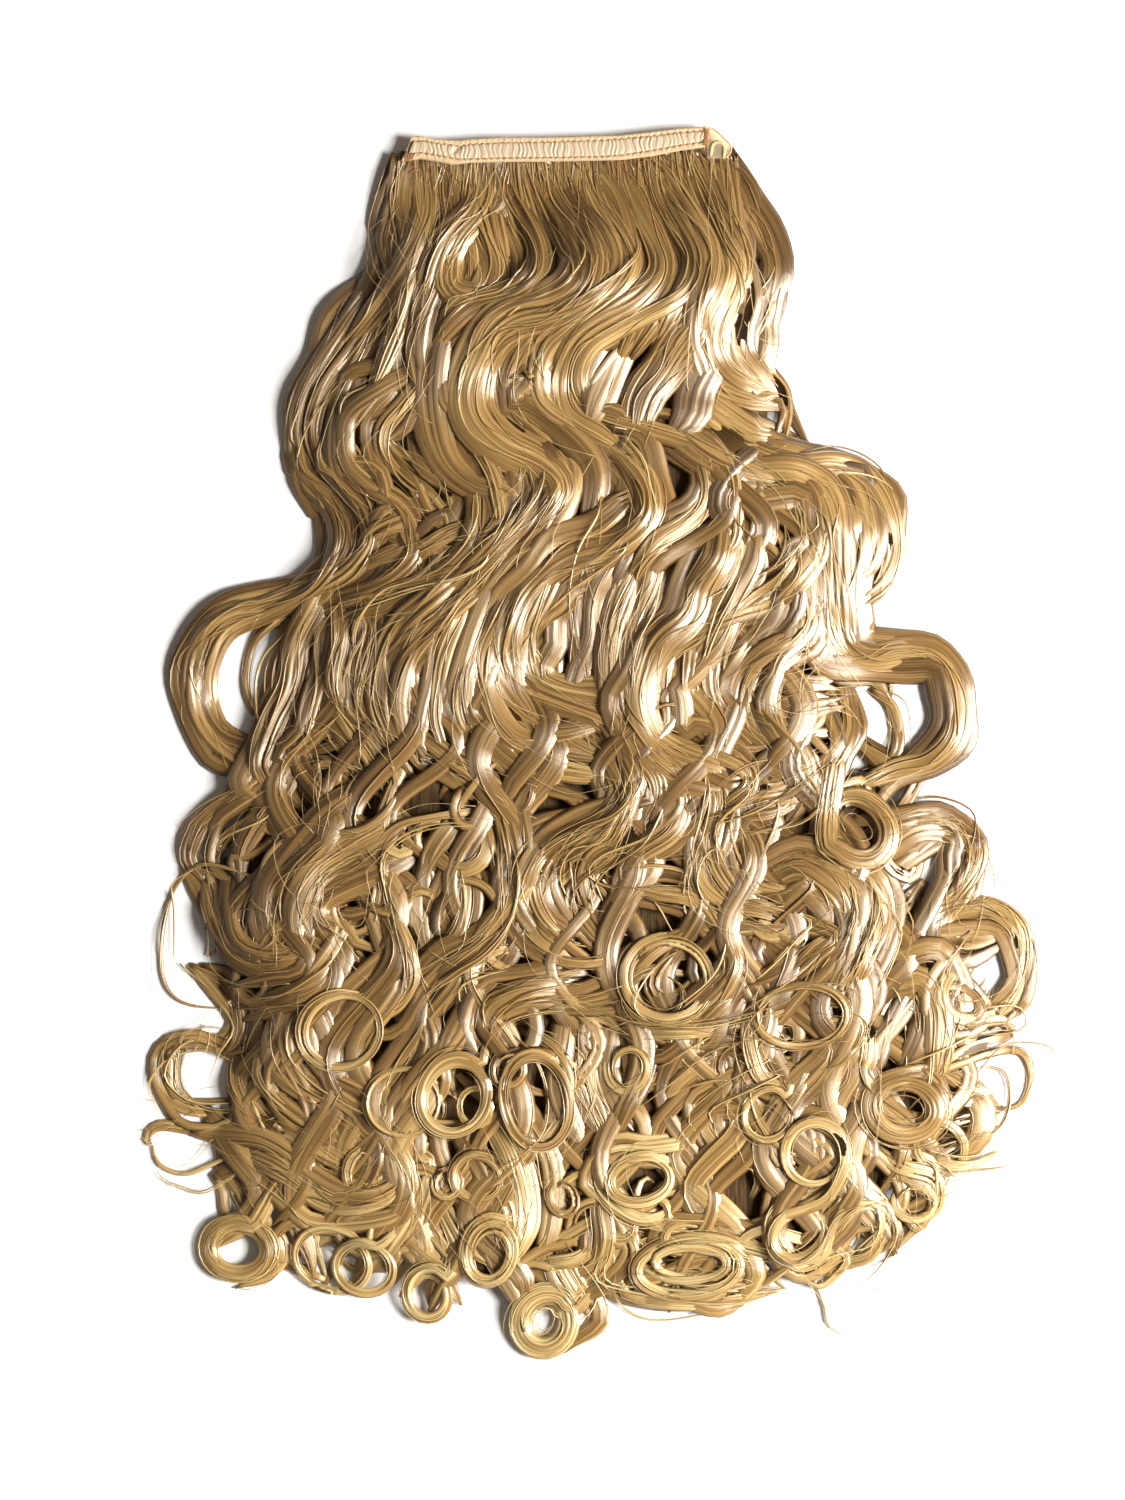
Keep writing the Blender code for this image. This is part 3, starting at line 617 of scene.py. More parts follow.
def layLoose(bundle, body, number, rooted, step, depth, fine):
    # loose strands, each over a stretch of the lock
    line, side, reachWide, share, z, tone = body
    count, columns = z.shape
    beyond = 1 + fibre["beyond"] * fine
    row = np.arange(count)
    for _ in range(number):
        first = 0 if rooted and dice.random() < 0.5 else dice.integers(0, max(count // 3, 1))
        last = int(count * dice.uniform(fibre["least"], fibre["most"]))
        last = min(count, max(first + fibre["shortest"], last))
        first = min(first, last - fibre["shortest"]) if last > fibre["shortest"] else 0
        run = slice(first, last)
        across = dice.uniform(-1, 1) * beyond + fibre["drift"] * slowNoise(count, 1, 8)[:, 0]
        across = across + dice.normal(0, fibre["splay"]) * share**fibre["splayPower"]
        across = np.clip(across, -fibre["reach"] * beyond, fibre["reach"] * beyond)
        at = np.clip((1 - across) / 2, 0, 0.999) * (columns - 1)
        low = at.astype(int)
        high = np.minimum(low + 1, columns - 1)
        lying = z[row, low] * (1 - at + low) + z[row, high] * (at - low)
        half = fibre["half"] * dice.uniform(0.6, 1.4) * (1 - fibre["thinner"] * fine)
        half = half * strandTaper(row, first, last, step)
        lying = np.maximum(lying + fibre["lift"], half)
        spot = line + side * (reachWide * across)[:, None]
        # each strand gets painted shade from the lock's depth, scaled down
        addStrand(bundle, np.column_stack([spot, lying])[run], half[run],
                  half[run] * fibre["flat"],
                  tone[run] + dice.normal(fibre["paler"], fibre["tone"]),
                  depth * fibre["depth"],
                  roll=float(dice.uniform(-fibre["roll"], fibre["roll"])))


def growPile(line, side, half, z, thick):
    # the pile grows by the lock, which settles into what lies under it
    count, columns = z.shape
    for part in np.arange(-1, 1.01, min(0.5, field["cell"] / max(half.max(), 1e-4))):
        cells = cellOf(*(line + side * (half * part)[:, None]).T)
        middle = z[np.arange(count), int(round((1 - part) / 2 * (columns - 1)))]
        np.maximum.at(pile, cells, middle - (1 - layer["settle"]) * thick * 0.5)


def layLock(bundle, points, wide, pale=0.0, depth=0.1, column=None, tip=0.6, step=None,
            lift=0.0, start=0.85, relief=1.0, sway=1.0, every=None, thin=False, dive=True,
            fine=0.0, fewest=2):
    # depth: painted shade, how much darker the whole lock is made for lying deep
    # points and wide in photo pixels. pale: added tone. tip: width left at the loose end
    # fine: 0 for the broad locks at the top, 1 for the flat ones with thin parts at the ends
    step = step or layer["step"]
    rooted = points[0][1] < bandFoot
    points, dive = lockPoints(points, rooted, dive)
    line = smoothPath([place(*point) for point in points], step)
    side = flatSide(line)
    count = len(line)
    share = np.linspace(0, 1, count)
    reach = share * (count - 1) * step
    full, closing = lockWidths(wide, share, reach, start, tip, rooted)
    half = full * closing
    thick = float(np.clip(wide * photo["pixel"] * layer["thick"], layer["least"], layer["most"]))
    thick = thick * (1 - layer["thinner"] * fine)
    base, free = lockHeights(line, side, half, reach, lift, relief, sway)
    # the body: from one edge to the other, draped half on what lies there
    columns = max(5, int(round(2 * half.max() / (column or layer["column"]))) + 1)
    spread = np.linspace(1, -1, columns)
    drifting = slowNoise(count, 2, 9) * layer["drift"]
    offset = spread + (1 - spread**2) * (drifting[:, :1] + drifting[:, 1:] * spread)
    spots = line[:, None, :] + side[:, None, :] * (half[:, None] * offset)[:, :, None]
    under = softened(pile[cellOf(spots[:, :, 0], spots[:, :, 1])], 5, 2)
    crown = thick * closing[:, None] * np.clip(1 - offset**2, 0, 1)**layer["crownPower"]
    z = base[:, None] * (1 - layer["drape"]) + under * layer["drape"] + crown * layer["crown"]
    z = capped(np.maximum(z, under + layer["over"] + lift * layer["drape"]))
    z = layer["rootHeight"] + (z - layer["rootHeight"]) * free[:, None]
    z = tuckedEnds(z, reach, rooted, dive)
    carved, grooves, valleys = carvedRelief(offset, wide, fine)
    z = z + carved * np.clip(carve["rim"] - offset**2, 0, 1)
    z = np.maximum(z, layer["floor"] + layer["crownFloor"] * crown)
    down = photo["down"] - line[:, 1] / photo["pixel"]
    tone = between(toneDown, "down", "tone", down) + pale + dice.normal(0, shade["lock"])
    if not thin:
        tones = bodyTones(tone, offset, grooves, valleys)
        width = 2 * half.max() * layer["mapScale"]
        around = np.append((1 - spread) / 2 * width, 2 * width)
        # painted shade: the lock's edges are made darker than its middle
        addTube(bundle, np.dstack([spots, z]), tones, depth + shade["paintedEdgeShade"] * offset**2, around)
    number = max(fewest, round(wide / (every or fibre["every"] - fibre["finer"] * fine)))
    body = (line, side, full * (0.5 + 0.5 * closing), share, z, tone)
    layLoose(bundle, body, number, rooted, step, depth, fine)
    if not thin:
        growPile(line, side, half, z, thick)


# The main locks, lowest first. wide and path in photo pixels. pale: paler than the hair round it
upperLocks = [
    dict(wide=26, path=[(410, 155), (405, 200), (412, 240), (418, 270), (408, 300), (395, 340),
                        (375, 390)]),
    dict(wide=14, path=[(397, 155), (390, 210), (383, 240), (390, 265), (405, 290), (415, 310),
                        (420, 340), (424, 380)]),
    dict(wide=26, path=[(420, 155), (425, 200), (418, 240), (400, 280), (370, 320), (345, 350)]),
    dict(wide=30, path=[(440, 155), (447, 200), (452, 240), (440, 280), (425, 320), (420, 360),
                        (430, 400), (445, 430)]),
    dict(wide=30, path=[(465, 155), (470, 200), (480, 240), (490, 270), (480, 295), (455, 315),
                        (440, 345)]),
    dict(wide=40, path=[(720, 155), (722, 200), (728, 240), (735, 270), (725, 300), (712, 330),
                        (715, 360), (740, 385), (775, 397)]),
    dict(wide=14, path=[(702, 150), (728, 180), (748, 215), (762, 245), (771, 275), (770, 310),
                        (758, 335), (754, 348), (765, 367), (783, 387), (788, 410), (784, 440)]),
    dict(wide=34, path=[(690, 152), (705, 190), (722, 230), (738, 265), (745, 300), (738, 330),
                        (740, 355), (760, 380), (778, 400)]),
    dict(wide=45, path=[(690, 330), (665, 370), (642, 400), (636, 440)]),
    dict(wide=30, path=[(650, 155), (690, 220), (705, 250), (705, 280), (695, 310), (693, 340),
                        (700, 370), (715, 390), (745, 402), (785, 410)]),
    dict(wide=44, path=[(690, 400), (725, 425), (750, 440), (775, 440)], pale=0.1),
    dict(wide=30, path=[(590, 155), (600, 200), (620, 240), (628, 270), (610, 300), (575, 325),
                        (548, 350), (540, 380), (545, 405), (570, 425), (600, 440)]),
    dict(wide=28, path=[(612, 155), (635, 205), (655, 245), (660, 275), (640, 302), (605, 325),
                        (575, 350), (563, 385), (570, 415), (600, 435), (630, 455)]),
    dict(wide=32, path=[(568, 155), (583, 200), (602, 240), (606, 270), (590, 295), (560, 315),
                        (525, 340), (505, 375), (508, 410), (535, 435), (570, 455)]),
    dict(wide=52, path=[(535, 155), (555, 200), (577, 240), (585, 265), (575, 292), (545, 312),
                        (500, 330), (478, 360), (470, 395), (478, 425), (505, 450), (535, 465),
                        (558, 488), (552, 515)]),
    dict(wide=26, path=[(505, 155), (507, 190), (520, 215), (535, 240), (540, 262), (533, 282),
                        (512, 297), (480, 305), (455, 325), (435, 350)]),
    dict(wide=34, path=[(490, 155), (488, 190), (478, 215), (458, 238), (447, 262), (450, 290),
                        (468, 300), (490, 296)], tip=1.0),
    dict(wide=26, path=[(482, 165), (474, 205), (455, 228), (440, 248), (430, 275), (427, 305)],
         tip=1.2),
    dict(wide=16, path=[(640, 155), (665, 200), (690, 240), (697, 265), (690, 290), (665, 312),
                        (620, 335), (590, 355), (580, 385), (595, 412), (640, 427), (690, 443),
                        (718, 455), (733, 480), (736, 510), (735, 540), (722, 560)], pale=0.08),
]

flankLocks = [
    dict(wide=20, path=[(300, 635), (280, 660), (278, 700), (290, 730), (310, 755)]),
    dict(wide=9, path=[(300, 600), (275, 622), (255, 640), (247, 665), (246, 690), (255, 715),
                       (266, 727)]),
    dict(wide=26, path=[(300, 430), (305, 470), (335, 495), (355, 520), (350, 560), (320, 587),
                        (270, 605), (235, 613), (205, 635), (191, 670), (192, 705), (209, 738),
                        (240, 762), (275, 780), (300, 805)]),
    dict(wide=16, path=[(350, 545), (318, 590), (270, 615), (232, 632), (215, 660), (210, 690),
                        (222, 725), (250, 750)]),
    dict(wide=30, path=[(320, 600), (298, 640), (290, 685), (275, 720), (266, 745), (262, 770),
                        (285, 800)]),
    dict(wide=14, path=[(325, 610), (322, 650), (325, 690), (342, 722), (370, 760), (388, 795)]),
    dict(wide=20, path=[(425, 520), (400, 525), (375, 535), (355, 560)]),
    dict(wide=18, path=[(480, 525), (450, 535), (425, 550), (395, 565)]),
    dict(wide=25, path=[(372, 290), (345, 330), (325, 360), (305, 395), (298, 425), (299, 455),
                        (309, 480), (325, 500), (335, 520), (337, 545), (325, 570)]),
    dict(wide=24, path=[(385, 300), (365, 340), (340, 375), (322, 405), (315, 435), (325, 465),
                        (350, 490), (368, 515), (372, 545), (350, 575), (310, 595)]),
    dict(wide=22, path=[(410, 375), (375, 395), (350, 415), (345, 440), (350, 465), (370, 485),
                        (395, 500), (412, 520), (418, 545), (410, 565), (375, 590), (320, 602)]),
    dict(wide=20, path=[(425, 380), (405, 405), (385, 430), (385, 455), (405, 480), (430, 500),
                        (445, 525), (440, 550)]),
    dict(wide=22, path=[(340, 600), (343, 640), (336, 680), (345, 705), (365, 735), (385, 770)]),
    dict(wide=22, path=[(365, 597), (372, 630), (362, 670), (365, 700), (385, 735), (405, 760)]),
]

middleLocks = [
    # depth: painted shade, this lock is made darker than its neighbours
    dict(wide=26, path=[(600, 470), (600, 520), (585, 560), (575, 610), (580, 660), (590, 700)],
         depth=0.5),
    dict(wide=24, path=[(430, 420), (450, 450), (470, 480), (478, 510), (470, 545), (440, 575),
                        (400, 590)]),
    dict(wide=18, path=[(460, 430), (480, 455), (495, 480), (500, 505), (500, 530), (490, 555),
                        (465, 572), (430, 582), (380, 595), (340, 602)]),
    dict(wide=26, path=[(600, 440), (625, 470), (640, 500), (640, 530), (610, 560), (570, 580),
                        (545, 610)]),
    dict(wide=22, path=[(540, 440), (555, 460), (560, 480), (552, 503), (525, 535), (505, 550),
                        (490, 575), (478, 600)]),
    dict(wide=24, path=[(510, 445), (528, 470), (535, 498), (520, 525), (495, 550), (470, 575),
                        (440, 600), (415, 630), (400, 660)]),
    dict(wide=20, path=[(425, 738), (450, 756), (480, 776), (512, 795)]),
    dict(wide=20, path=[(480, 590), (455, 610), (430, 632), (410, 660), (400, 692), (402, 725),
                        (412, 752), (430, 775)]),
    dict(wide=24, path=[(460, 575), (430, 600), (400, 625), (383, 660), (378, 700), (388, 735),
                        (405, 765)]),
    dict(wide=18, path=[(470, 600), (450, 640), (440, 680), (437, 720), (445, 750)], pale=0.06),
    dict(wide=22, path=[(480, 640), (466, 680), (466, 716), (485, 746), (506, 767), (516, 788)]),
    dict(wide=26, path=[(560, 560), (540, 600), (525, 640), (530, 680), (555, 705), (595, 720),
                        (625, 745)]),
    dict(wide=28, path=[(520, 590), (500, 625), (485, 660), (490, 700), (512, 735), (545, 750),
                        (585, 762)]),
    dict(wide=30, path=[(600, 445), (628, 462), (645, 485), (648, 512), (635, 532), (610, 548),
                        (570, 560), (540, 580), (518, 605), (508, 640), (512, 668), (530, 690),
                        (565, 706), (605, 722), (625, 745)]),
    dict(wide=22, path=[(520, 762), (560, 771), (605, 778)], pale=0.1),
    dict(wide=24, path=[(735, 520), (735, 560), (715, 590), (700, 620), (690, 650), (685, 690),
                        (700, 720)]),
    dict(wide=32, path=[(635, 570), (620, 600), (610, 640), (608, 680), (612, 710), (617, 745)]),
    dict(wide=24, path=[(655, 560), (645, 600), (632, 640), (628, 680), (632, 715), (640, 745)]),
    dict(wide=22, path=[(670, 440), (695, 455), (705, 480), (703, 505), (685, 525), (655, 545),
                        (635, 575), (628, 600)]),
    dict(wide=22, path=[(790, 640), (760, 655), (738, 680), (735, 710), (755, 735), (785, 750)]),
    dict(wide=20, path=[(735, 620), (715, 650), (708, 680), (715, 705), (737, 724), (772, 735)]),
    dict(wide=16, path=[(790, 600), (760, 610), (728, 620), (700, 635), (668, 657), (650, 682),
                        (636, 715), (642, 742)]),
    dict(wide=34, path=[(722, 530), (717, 560), (698, 590), (688, 620), (662, 645), (645, 675),
                        (640, 705), (652, 737), (675, 752), (705, 762), (730, 772)]),
]

rightLocks = [
    dict(wide=26, path=[(785, 470), (830, 475), (862, 495), (875, 530), (868, 565), (848, 590)]),
    dict(wide=26, path=[(770, 480), (800, 500), (815, 530), (812, 560), (790, 590), (770, 610)]),
    dict(wide=24, path=[(735, 440), (760, 455), (795, 465), (832, 462), (862, 472), (882, 497),
                        (892, 530), (894, 558), (880, 585), (858, 602), (845, 622)]),
    dict(wide=16, path=[(760, 682), (790, 688), (815, 686), (840, 690)]),
    dict(wide=16, path=[(765, 712), (790, 716), (815, 712), (845, 706)]),
    dict(wide=18, path=[(845, 690), (850, 725), (838, 755), (820, 780)]),
    dict(wide=14, path=[(870, 690), (890, 705), (898, 735), (893, 757), (876, 764)]),
    dict(wide=26, path=[(815, 560), (820, 600), (828, 640), (850, 665), (875, 680), (890, 700)]),
    dict(wide=34, path=[(760, 470), (800, 474), (828, 495), (838, 540), (838, 600), (845, 640),
                        (870, 655), (905, 650), (935, 656), (953, 680), (959, 710), (952, 740),
                        (928, 762), (895, 770), (865, 782)]),
    dict(wide=16, path=[(740, 500), (750, 530), (775, 560), (800, 590), (810, 620), (800, 640),
                        (780, 657), (770, 682), (772, 710), (790, 737), (815, 762), (822, 785)]),
    dict(wide=10, path=[(735, 490), (770, 500), (790, 520), (796, 548), (782, 575), (755, 595),
                        (730, 615), (700, 635)], pale=0.1),
    dict(wide=12, path=[(700, 450), (730, 475), (765, 490), (800, 515), (820, 545), (830, 580)],
         pale=0.06),
]

lowerLocks = [
    dict(wide=24, path=[(500, 800), (512, 850), (510, 900), (490, 940), (455, 965), (420, 990)]),
    dict(wide=24, path=[(600, 740), (622, 780), (605, 820), (560, 835), (532, 860), (522, 900),
                        (540, 940), (580, 955)]),
    dict(wide=20, path=[(616, 739), (635, 781), (616, 812), (577, 834), (545, 856), (535, 885),
                        (545, 915), (570, 940)]),
    dict(wide=18, path=[(612, 740), (632, 790), (612, 838), (582, 860), (570, 890), (590, 930),
                        (620, 950)]),
    dict(wide=18, path=[(625, 744), (654, 773), (659, 798), (645, 822), (620, 843), (596, 852),
                        (585, 872), (590, 900), (610, 930)]),
    dict(wide=22, path=[(720, 905), (760, 910), (800, 925), (830, 935), (815, 950), (790, 975),
                        (760, 1000), (740, 1015)]),
    dict(wide=16, path=[(700, 815), (720, 800), (750, 795), (790, 785), (815, 770)]),
    dict(wide=16, path=[(735, 830), (732, 860), (745, 885), (775, 890)]),
    dict(wide=16, path=[(650, 745), (700, 775), (714, 800), (705, 835), (695, 860), (697, 890)]),
    dict(wide=16, path=[(720, 830), (702, 850), (700, 880), (720, 900), (760, 915), (800, 910)]),
    dict(wide=18, path=[(693, 744), (722, 759), (744, 768), (747, 788), (715, 817), (713, 856),
                        (734, 890), (768, 904)]),
    dict(wide=14, path=[(680, 745), (735, 765), (748, 790), (735, 800)]),
    dict(wide=12, path=[(720, 830), (740, 818), (775, 812), (800, 795), (820, 770)]),
    dict(wide=10, path=[(819, 764), (783, 773), (756, 800), (754, 822)]),
    dict(wide=17, path=[(635, 749), (674, 781), (684, 805), (672, 834), (638, 856), (628, 875),
                        (654, 890), (693, 899), (715, 926), (734, 958), (722, 991), (698, 1018),
                        (662, 1025), (638, 1006), (630, 982), (645, 958), (674, 938),
                        (703, 931)]),
    dict(wide=20, path=[(848, 867), (876, 900), (871, 938), (850, 974), (845, 997)]),
    dict(wide=20, path=[(850, 865), (875, 890), (880, 920), (865, 950), (852, 985), (870, 1000)]),
    dict(wide=22, path=[(795, 865), (831, 870), (853, 894), (853, 926), (834, 958), (819, 987)]),
    dict(wide=28, path=[(765, 880), (795, 866), (824, 882), (843, 909), (835, 940)]),
    dict(wide=10, path=[(640, 948), (590, 962), (540, 955), (505, 948), (490, 956), (510, 968),
                        (545, 975), (580, 968)], pale=0.05),
    dict(wide=22, path=[(575, 985), (530, 985), (495, 1000), (485, 1025), (500, 1050)]),
    dict(wide=16, path=[(620, 990), (580, 1000), (540, 1000)]),
    dict(wide=12, path=[(560, 1000), (600, 1015), (640, 1030), (700, 1030), (750, 1020),
                        (800, 1005)], pale=0.1),
    dict(wide=5, path=[(600, 860), (620, 867), (660, 865), (690, 875), (710, 905)], pale=0.1),
    dict(wide=24, path=[(890, 850), (915, 830), (948, 832), (966, 850), (962, 888), (945, 910),
                        (945, 930), (970, 940), (1000, 935)]),
    dict(wide=24, path=[(885, 828), (905, 820), (940, 815), (970, 833), (977, 857), (960, 887),
                        (943, 908)]),
    dict(wide=18, path=[(925, 880), (905, 905), (885, 915)]),
    dict(wide=20, path=[(885, 990), (870, 1020), (865, 1060), (850, 1085)]),
    dict(wide=34, path=[(900, 985), (920, 980), (935, 1010), (935, 1060), (930, 1080)]),
    dict(wide=12, path=[(990, 1015), (960, 1025), (1000, 1020), (1008, 1035), (960, 1050),
                        (930, 1070)]),
    dict(wide=20, path=[(940, 915), (985, 905), (1018, 925), (1025, 956), (1017, 992),
                        (998, 1017)], pale=0.12),
    dict(wide=14, path=[(960, 960), (940, 985), (945, 1010), (975, 1018), (990, 990)], pale=0.12),
]

leftLocks = [
    dict(wide=8, path=[(486, 809), (435, 816), (399, 825), (380, 848), (383, 882), (401, 924),
                       (410, 956), (403, 988)], pale=0.06),
    dict(wide=10, path=[(285, 745), (300, 735), (325, 733), (350, 742), (370, 760)]),
    dict(wide=10, path=[(318, 765), (312, 775), (318, 800), (322, 830)]),
    dict(wide=16, path=[(325, 762), (345, 765), (370, 775), (388, 782)], pale=0.05),
    dict(wide=18, path=[(268, 775), (240, 795), (208, 815), (194, 840), (190, 860), (205, 880)]),
    dict(wide=14, path=[(266, 795), (262, 815), (230, 835), (215, 860), (230, 885)]),
    dict(wide=34, path=[(385, 830), (350, 850), (318, 870), (302, 900), (304, 935), (320, 960)]),
    dict(wide=18, path=[(320, 900), (350, 890), (390, 885)], pale=0.06),
    dict(wide=16, path=[(315, 910), (330, 935), (350, 950), (375, 968)], pale=0.06),
    dict(wide=22, path=[(210, 885), (215, 915), (235, 945), (270, 962), (310, 955)]),
    dict(wide=16, path=[(240, 905), (250, 900), (255, 925), (245, 945)]),
    dict(wide=12, path=[(262, 935), (285, 925), (305, 940)]),
    dict(wide=22, path=[(325, 935), (328, 960), (310, 985), (270, 1000), (235, 1008)]),
    dict(wide=20, path=[(383, 860), (385, 890), (400, 930), (412, 965), (408, 990), (385, 1010),
                        (350, 1010)]),
    dict(wide=16, path=[(460, 870), (465, 895), (460, 925), (445, 945), (425, 950)], pale=0.08),
    dict(wide=14, path=[(445, 870), (430, 905), (430, 940), (445, 965)]),
    dict(wide=10, path=[(425, 950), (445, 972), (475, 978), (500, 965)], pale=0.1),
    dict(wide=8, path=[(385, 745), (395, 770), (395, 800), (370, 825), (340, 832), (310, 830),
                       (290, 838), (270, 855), (262, 885), (268, 912), (300, 932)]),
    dict(wide=4, path=[(259, 878), (230, 868), (200, 864), (180, 880), (168, 905), (162, 940),
                       (163, 975), (172, 995), (190, 1005), (215, 1008)]),
    dict(wide=15, path=[(190, 965), (221, 984), (238, 1013), (236, 1040), (221, 1057)]),
    dict(wide=13, path=[(235, 1052), (200, 1036), (168, 1042), (157, 1066), (162, 1092),
                        (190, 1110), (230, 1112)], pale=0.06),
    dict(wide=3, path=[(205, 1025), (185, 1050), (182, 1085), (200, 1105)], pale=0.1),
    dict(wide=12, path=[(150, 1145), (147, 1135), (160, 1125), (185, 1128), (210, 1131),
                        (245, 1115)], pale=0.1),
    dict(wide=5, path=[(152, 1145), (160, 1165), (185, 1174), (210, 1165), (240, 1150)],
         pale=0.12),
    dict(wide=27, path=[(216, 1154), (258, 1156), (294, 1175), (330, 1200), (380, 1195),
                        (405, 1175)]),
    dict(wide=16, path=[(216, 1166), (236, 1185), (255, 1217), (278, 1245), (268, 1275),
                        (235, 1288)]),
    dict(wide=20, path=[(291, 1008), (289, 1045), (306, 1076), (342, 1096), (375, 1120),
                        (392, 1150), (400, 1190)]),
    dict(wide=10, path=[(275, 1020), (258, 1070), (285, 1105), (325, 1125), (330, 1150),
                        (318, 1165)], pale=0.08),
    dict(wide=24, path=[(240, 1050), (240, 1085), (262, 1115), (300, 1135), (345, 1160),
                        (385, 1170)]),
    dict(wide=16, path=[(375, 1085), (372, 1110), (390, 1135), (410, 1165), (412, 1210),
                        (395, 1240), (381, 1260)], pale=0.12),
]

endLocks = [
    dict(wide=30, path=[(590, 1030), (583, 1070), (595, 1110), (610, 1140)]),
    dict(wide=22, path=[(735, 1072), (727, 1048), (704, 1050), (677, 1067), (642, 1086)]),
    dict(wide=22, path=[(770, 1075), (735, 1090), (705, 1110), (712, 1135), (740, 1150)]),
    dict(wide=18, path=[(766, 994), (749, 1018), (749, 1050), (766, 1079), (819, 1084)]),
    dict(wide=20, path=[(400, 1230), (430, 1260), (450, 1285)], pale=0.05),
    dict(wide=20, path=[(440, 1200), (460, 1240), (480, 1280)], pale=0.05),
    dict(wide=22, path=[(560, 1255), (580, 1290), (600, 1318), (575, 1342)]),
    dict(wide=22, path=[(600, 1200), (605, 1240), (590, 1275), (560, 1290)], pale=0.04),
    dict(wide=16, path=[(515, 1280), (545, 1262), (580, 1255), (605, 1230)], pale=0.12),
    dict(wide=30, path=[(497, 1120), (520, 1165), (527, 1215), (515, 1255)], pale=0.12),
    dict(wide=16, path=[(570, 984), (527, 987), (492, 1005), (487, 1027), (500, 1043)]),
    dict(wide=10, path=[(516, 1024), (554, 1046), (570, 1078), (559, 1115), (535, 1145),
                        (514, 1142)], pale=0.06),
    dict(wide=14, path=[(610, 1255), (612, 1288), (650, 1300), (720, 1302), (770, 1292)],
         pale=0.1),
    dict(wide=16, path=[(640, 1225), (680, 1235), (730, 1240), (775, 1255), (790, 1275)],
         pale=0.1),
    dict(wide=18, path=[(620, 1290), (660, 1275), (710, 1280), (755, 1290)], pale=0.06),
    dict(wide=16, path=[(875, 1150), (900, 1165), (932, 1175), (938, 1195), (930, 1213),
                        (905, 1225)], pale=0.1),
    dict(wide=12, path=[(850, 1200), (875, 1205), (885, 1225), (870, 1255), (840, 1265),
                        (810, 1275)], pale=0.06),
    dict(wide=8, path=[(740, 1024), (778, 1008), (817, 998), (847, 1006), (860, 1026),
                       (847, 1049), (817, 1059), (773, 1054)], pale=0.1),
    dict(wide=9, path=[(790, 1110), (776, 1089), (749, 1089), (739, 1110), (749, 1139),
                       (776, 1158), (800, 1172)], pale=0.12),
    dict(wide=15, path=[(698, 1139), (648, 1145), (613, 1147), (597, 1169), (607, 1196),
                        (640, 1217), (674, 1209), (695, 1190)], pale=0.14),
    dict(wide=8, path=[(920, 1075), (960, 1062), (990, 1053), (1020, 1052), (1031, 1075),
                       (1022, 1103), (1000, 1110)], pale=0.12),
    dict(wide=16, path=[(940, 1070), (965, 1085), (985, 1092), (1000, 1108)]),
    dict(wide=12, path=[(930, 1125), (975, 1115), (1000, 1112)], pale=0.05),
    dict(wide=12, path=[(985, 1135), (950, 1145), (935, 1160), (970, 1165), (1000, 1150)],
         pale=0.12),
    dict(wide=13, path=[(768, 1139), (786, 1123), (814, 1121), (839, 1139), (839, 1164),
                        (817, 1190), (786, 1200), (768, 1220), (773, 1246), (799, 1264),
                        (827, 1248), (842, 1223), (855, 1205), (875, 1205), (878, 1230),
                        (855, 1258)], pale=0.14),
    dict(wide=4, path=[(893, 1235), (893, 1253), (873, 1266)], pale=0.1),
    dict(wide=3, path=[(815, 1280), (824, 1304), (829, 1325), (848, 1338)], pale=0.1),
]

flyingLocks = [
    dict(wide=5, path=[(640, 720), (665, 705), (700, 710), (725, 730), (745, 760), (767, 792)]),
    dict(wide=5, path=[(708, 720), (734, 744), (771, 785), (776, 817), (754, 870), (747, 902)]),
]

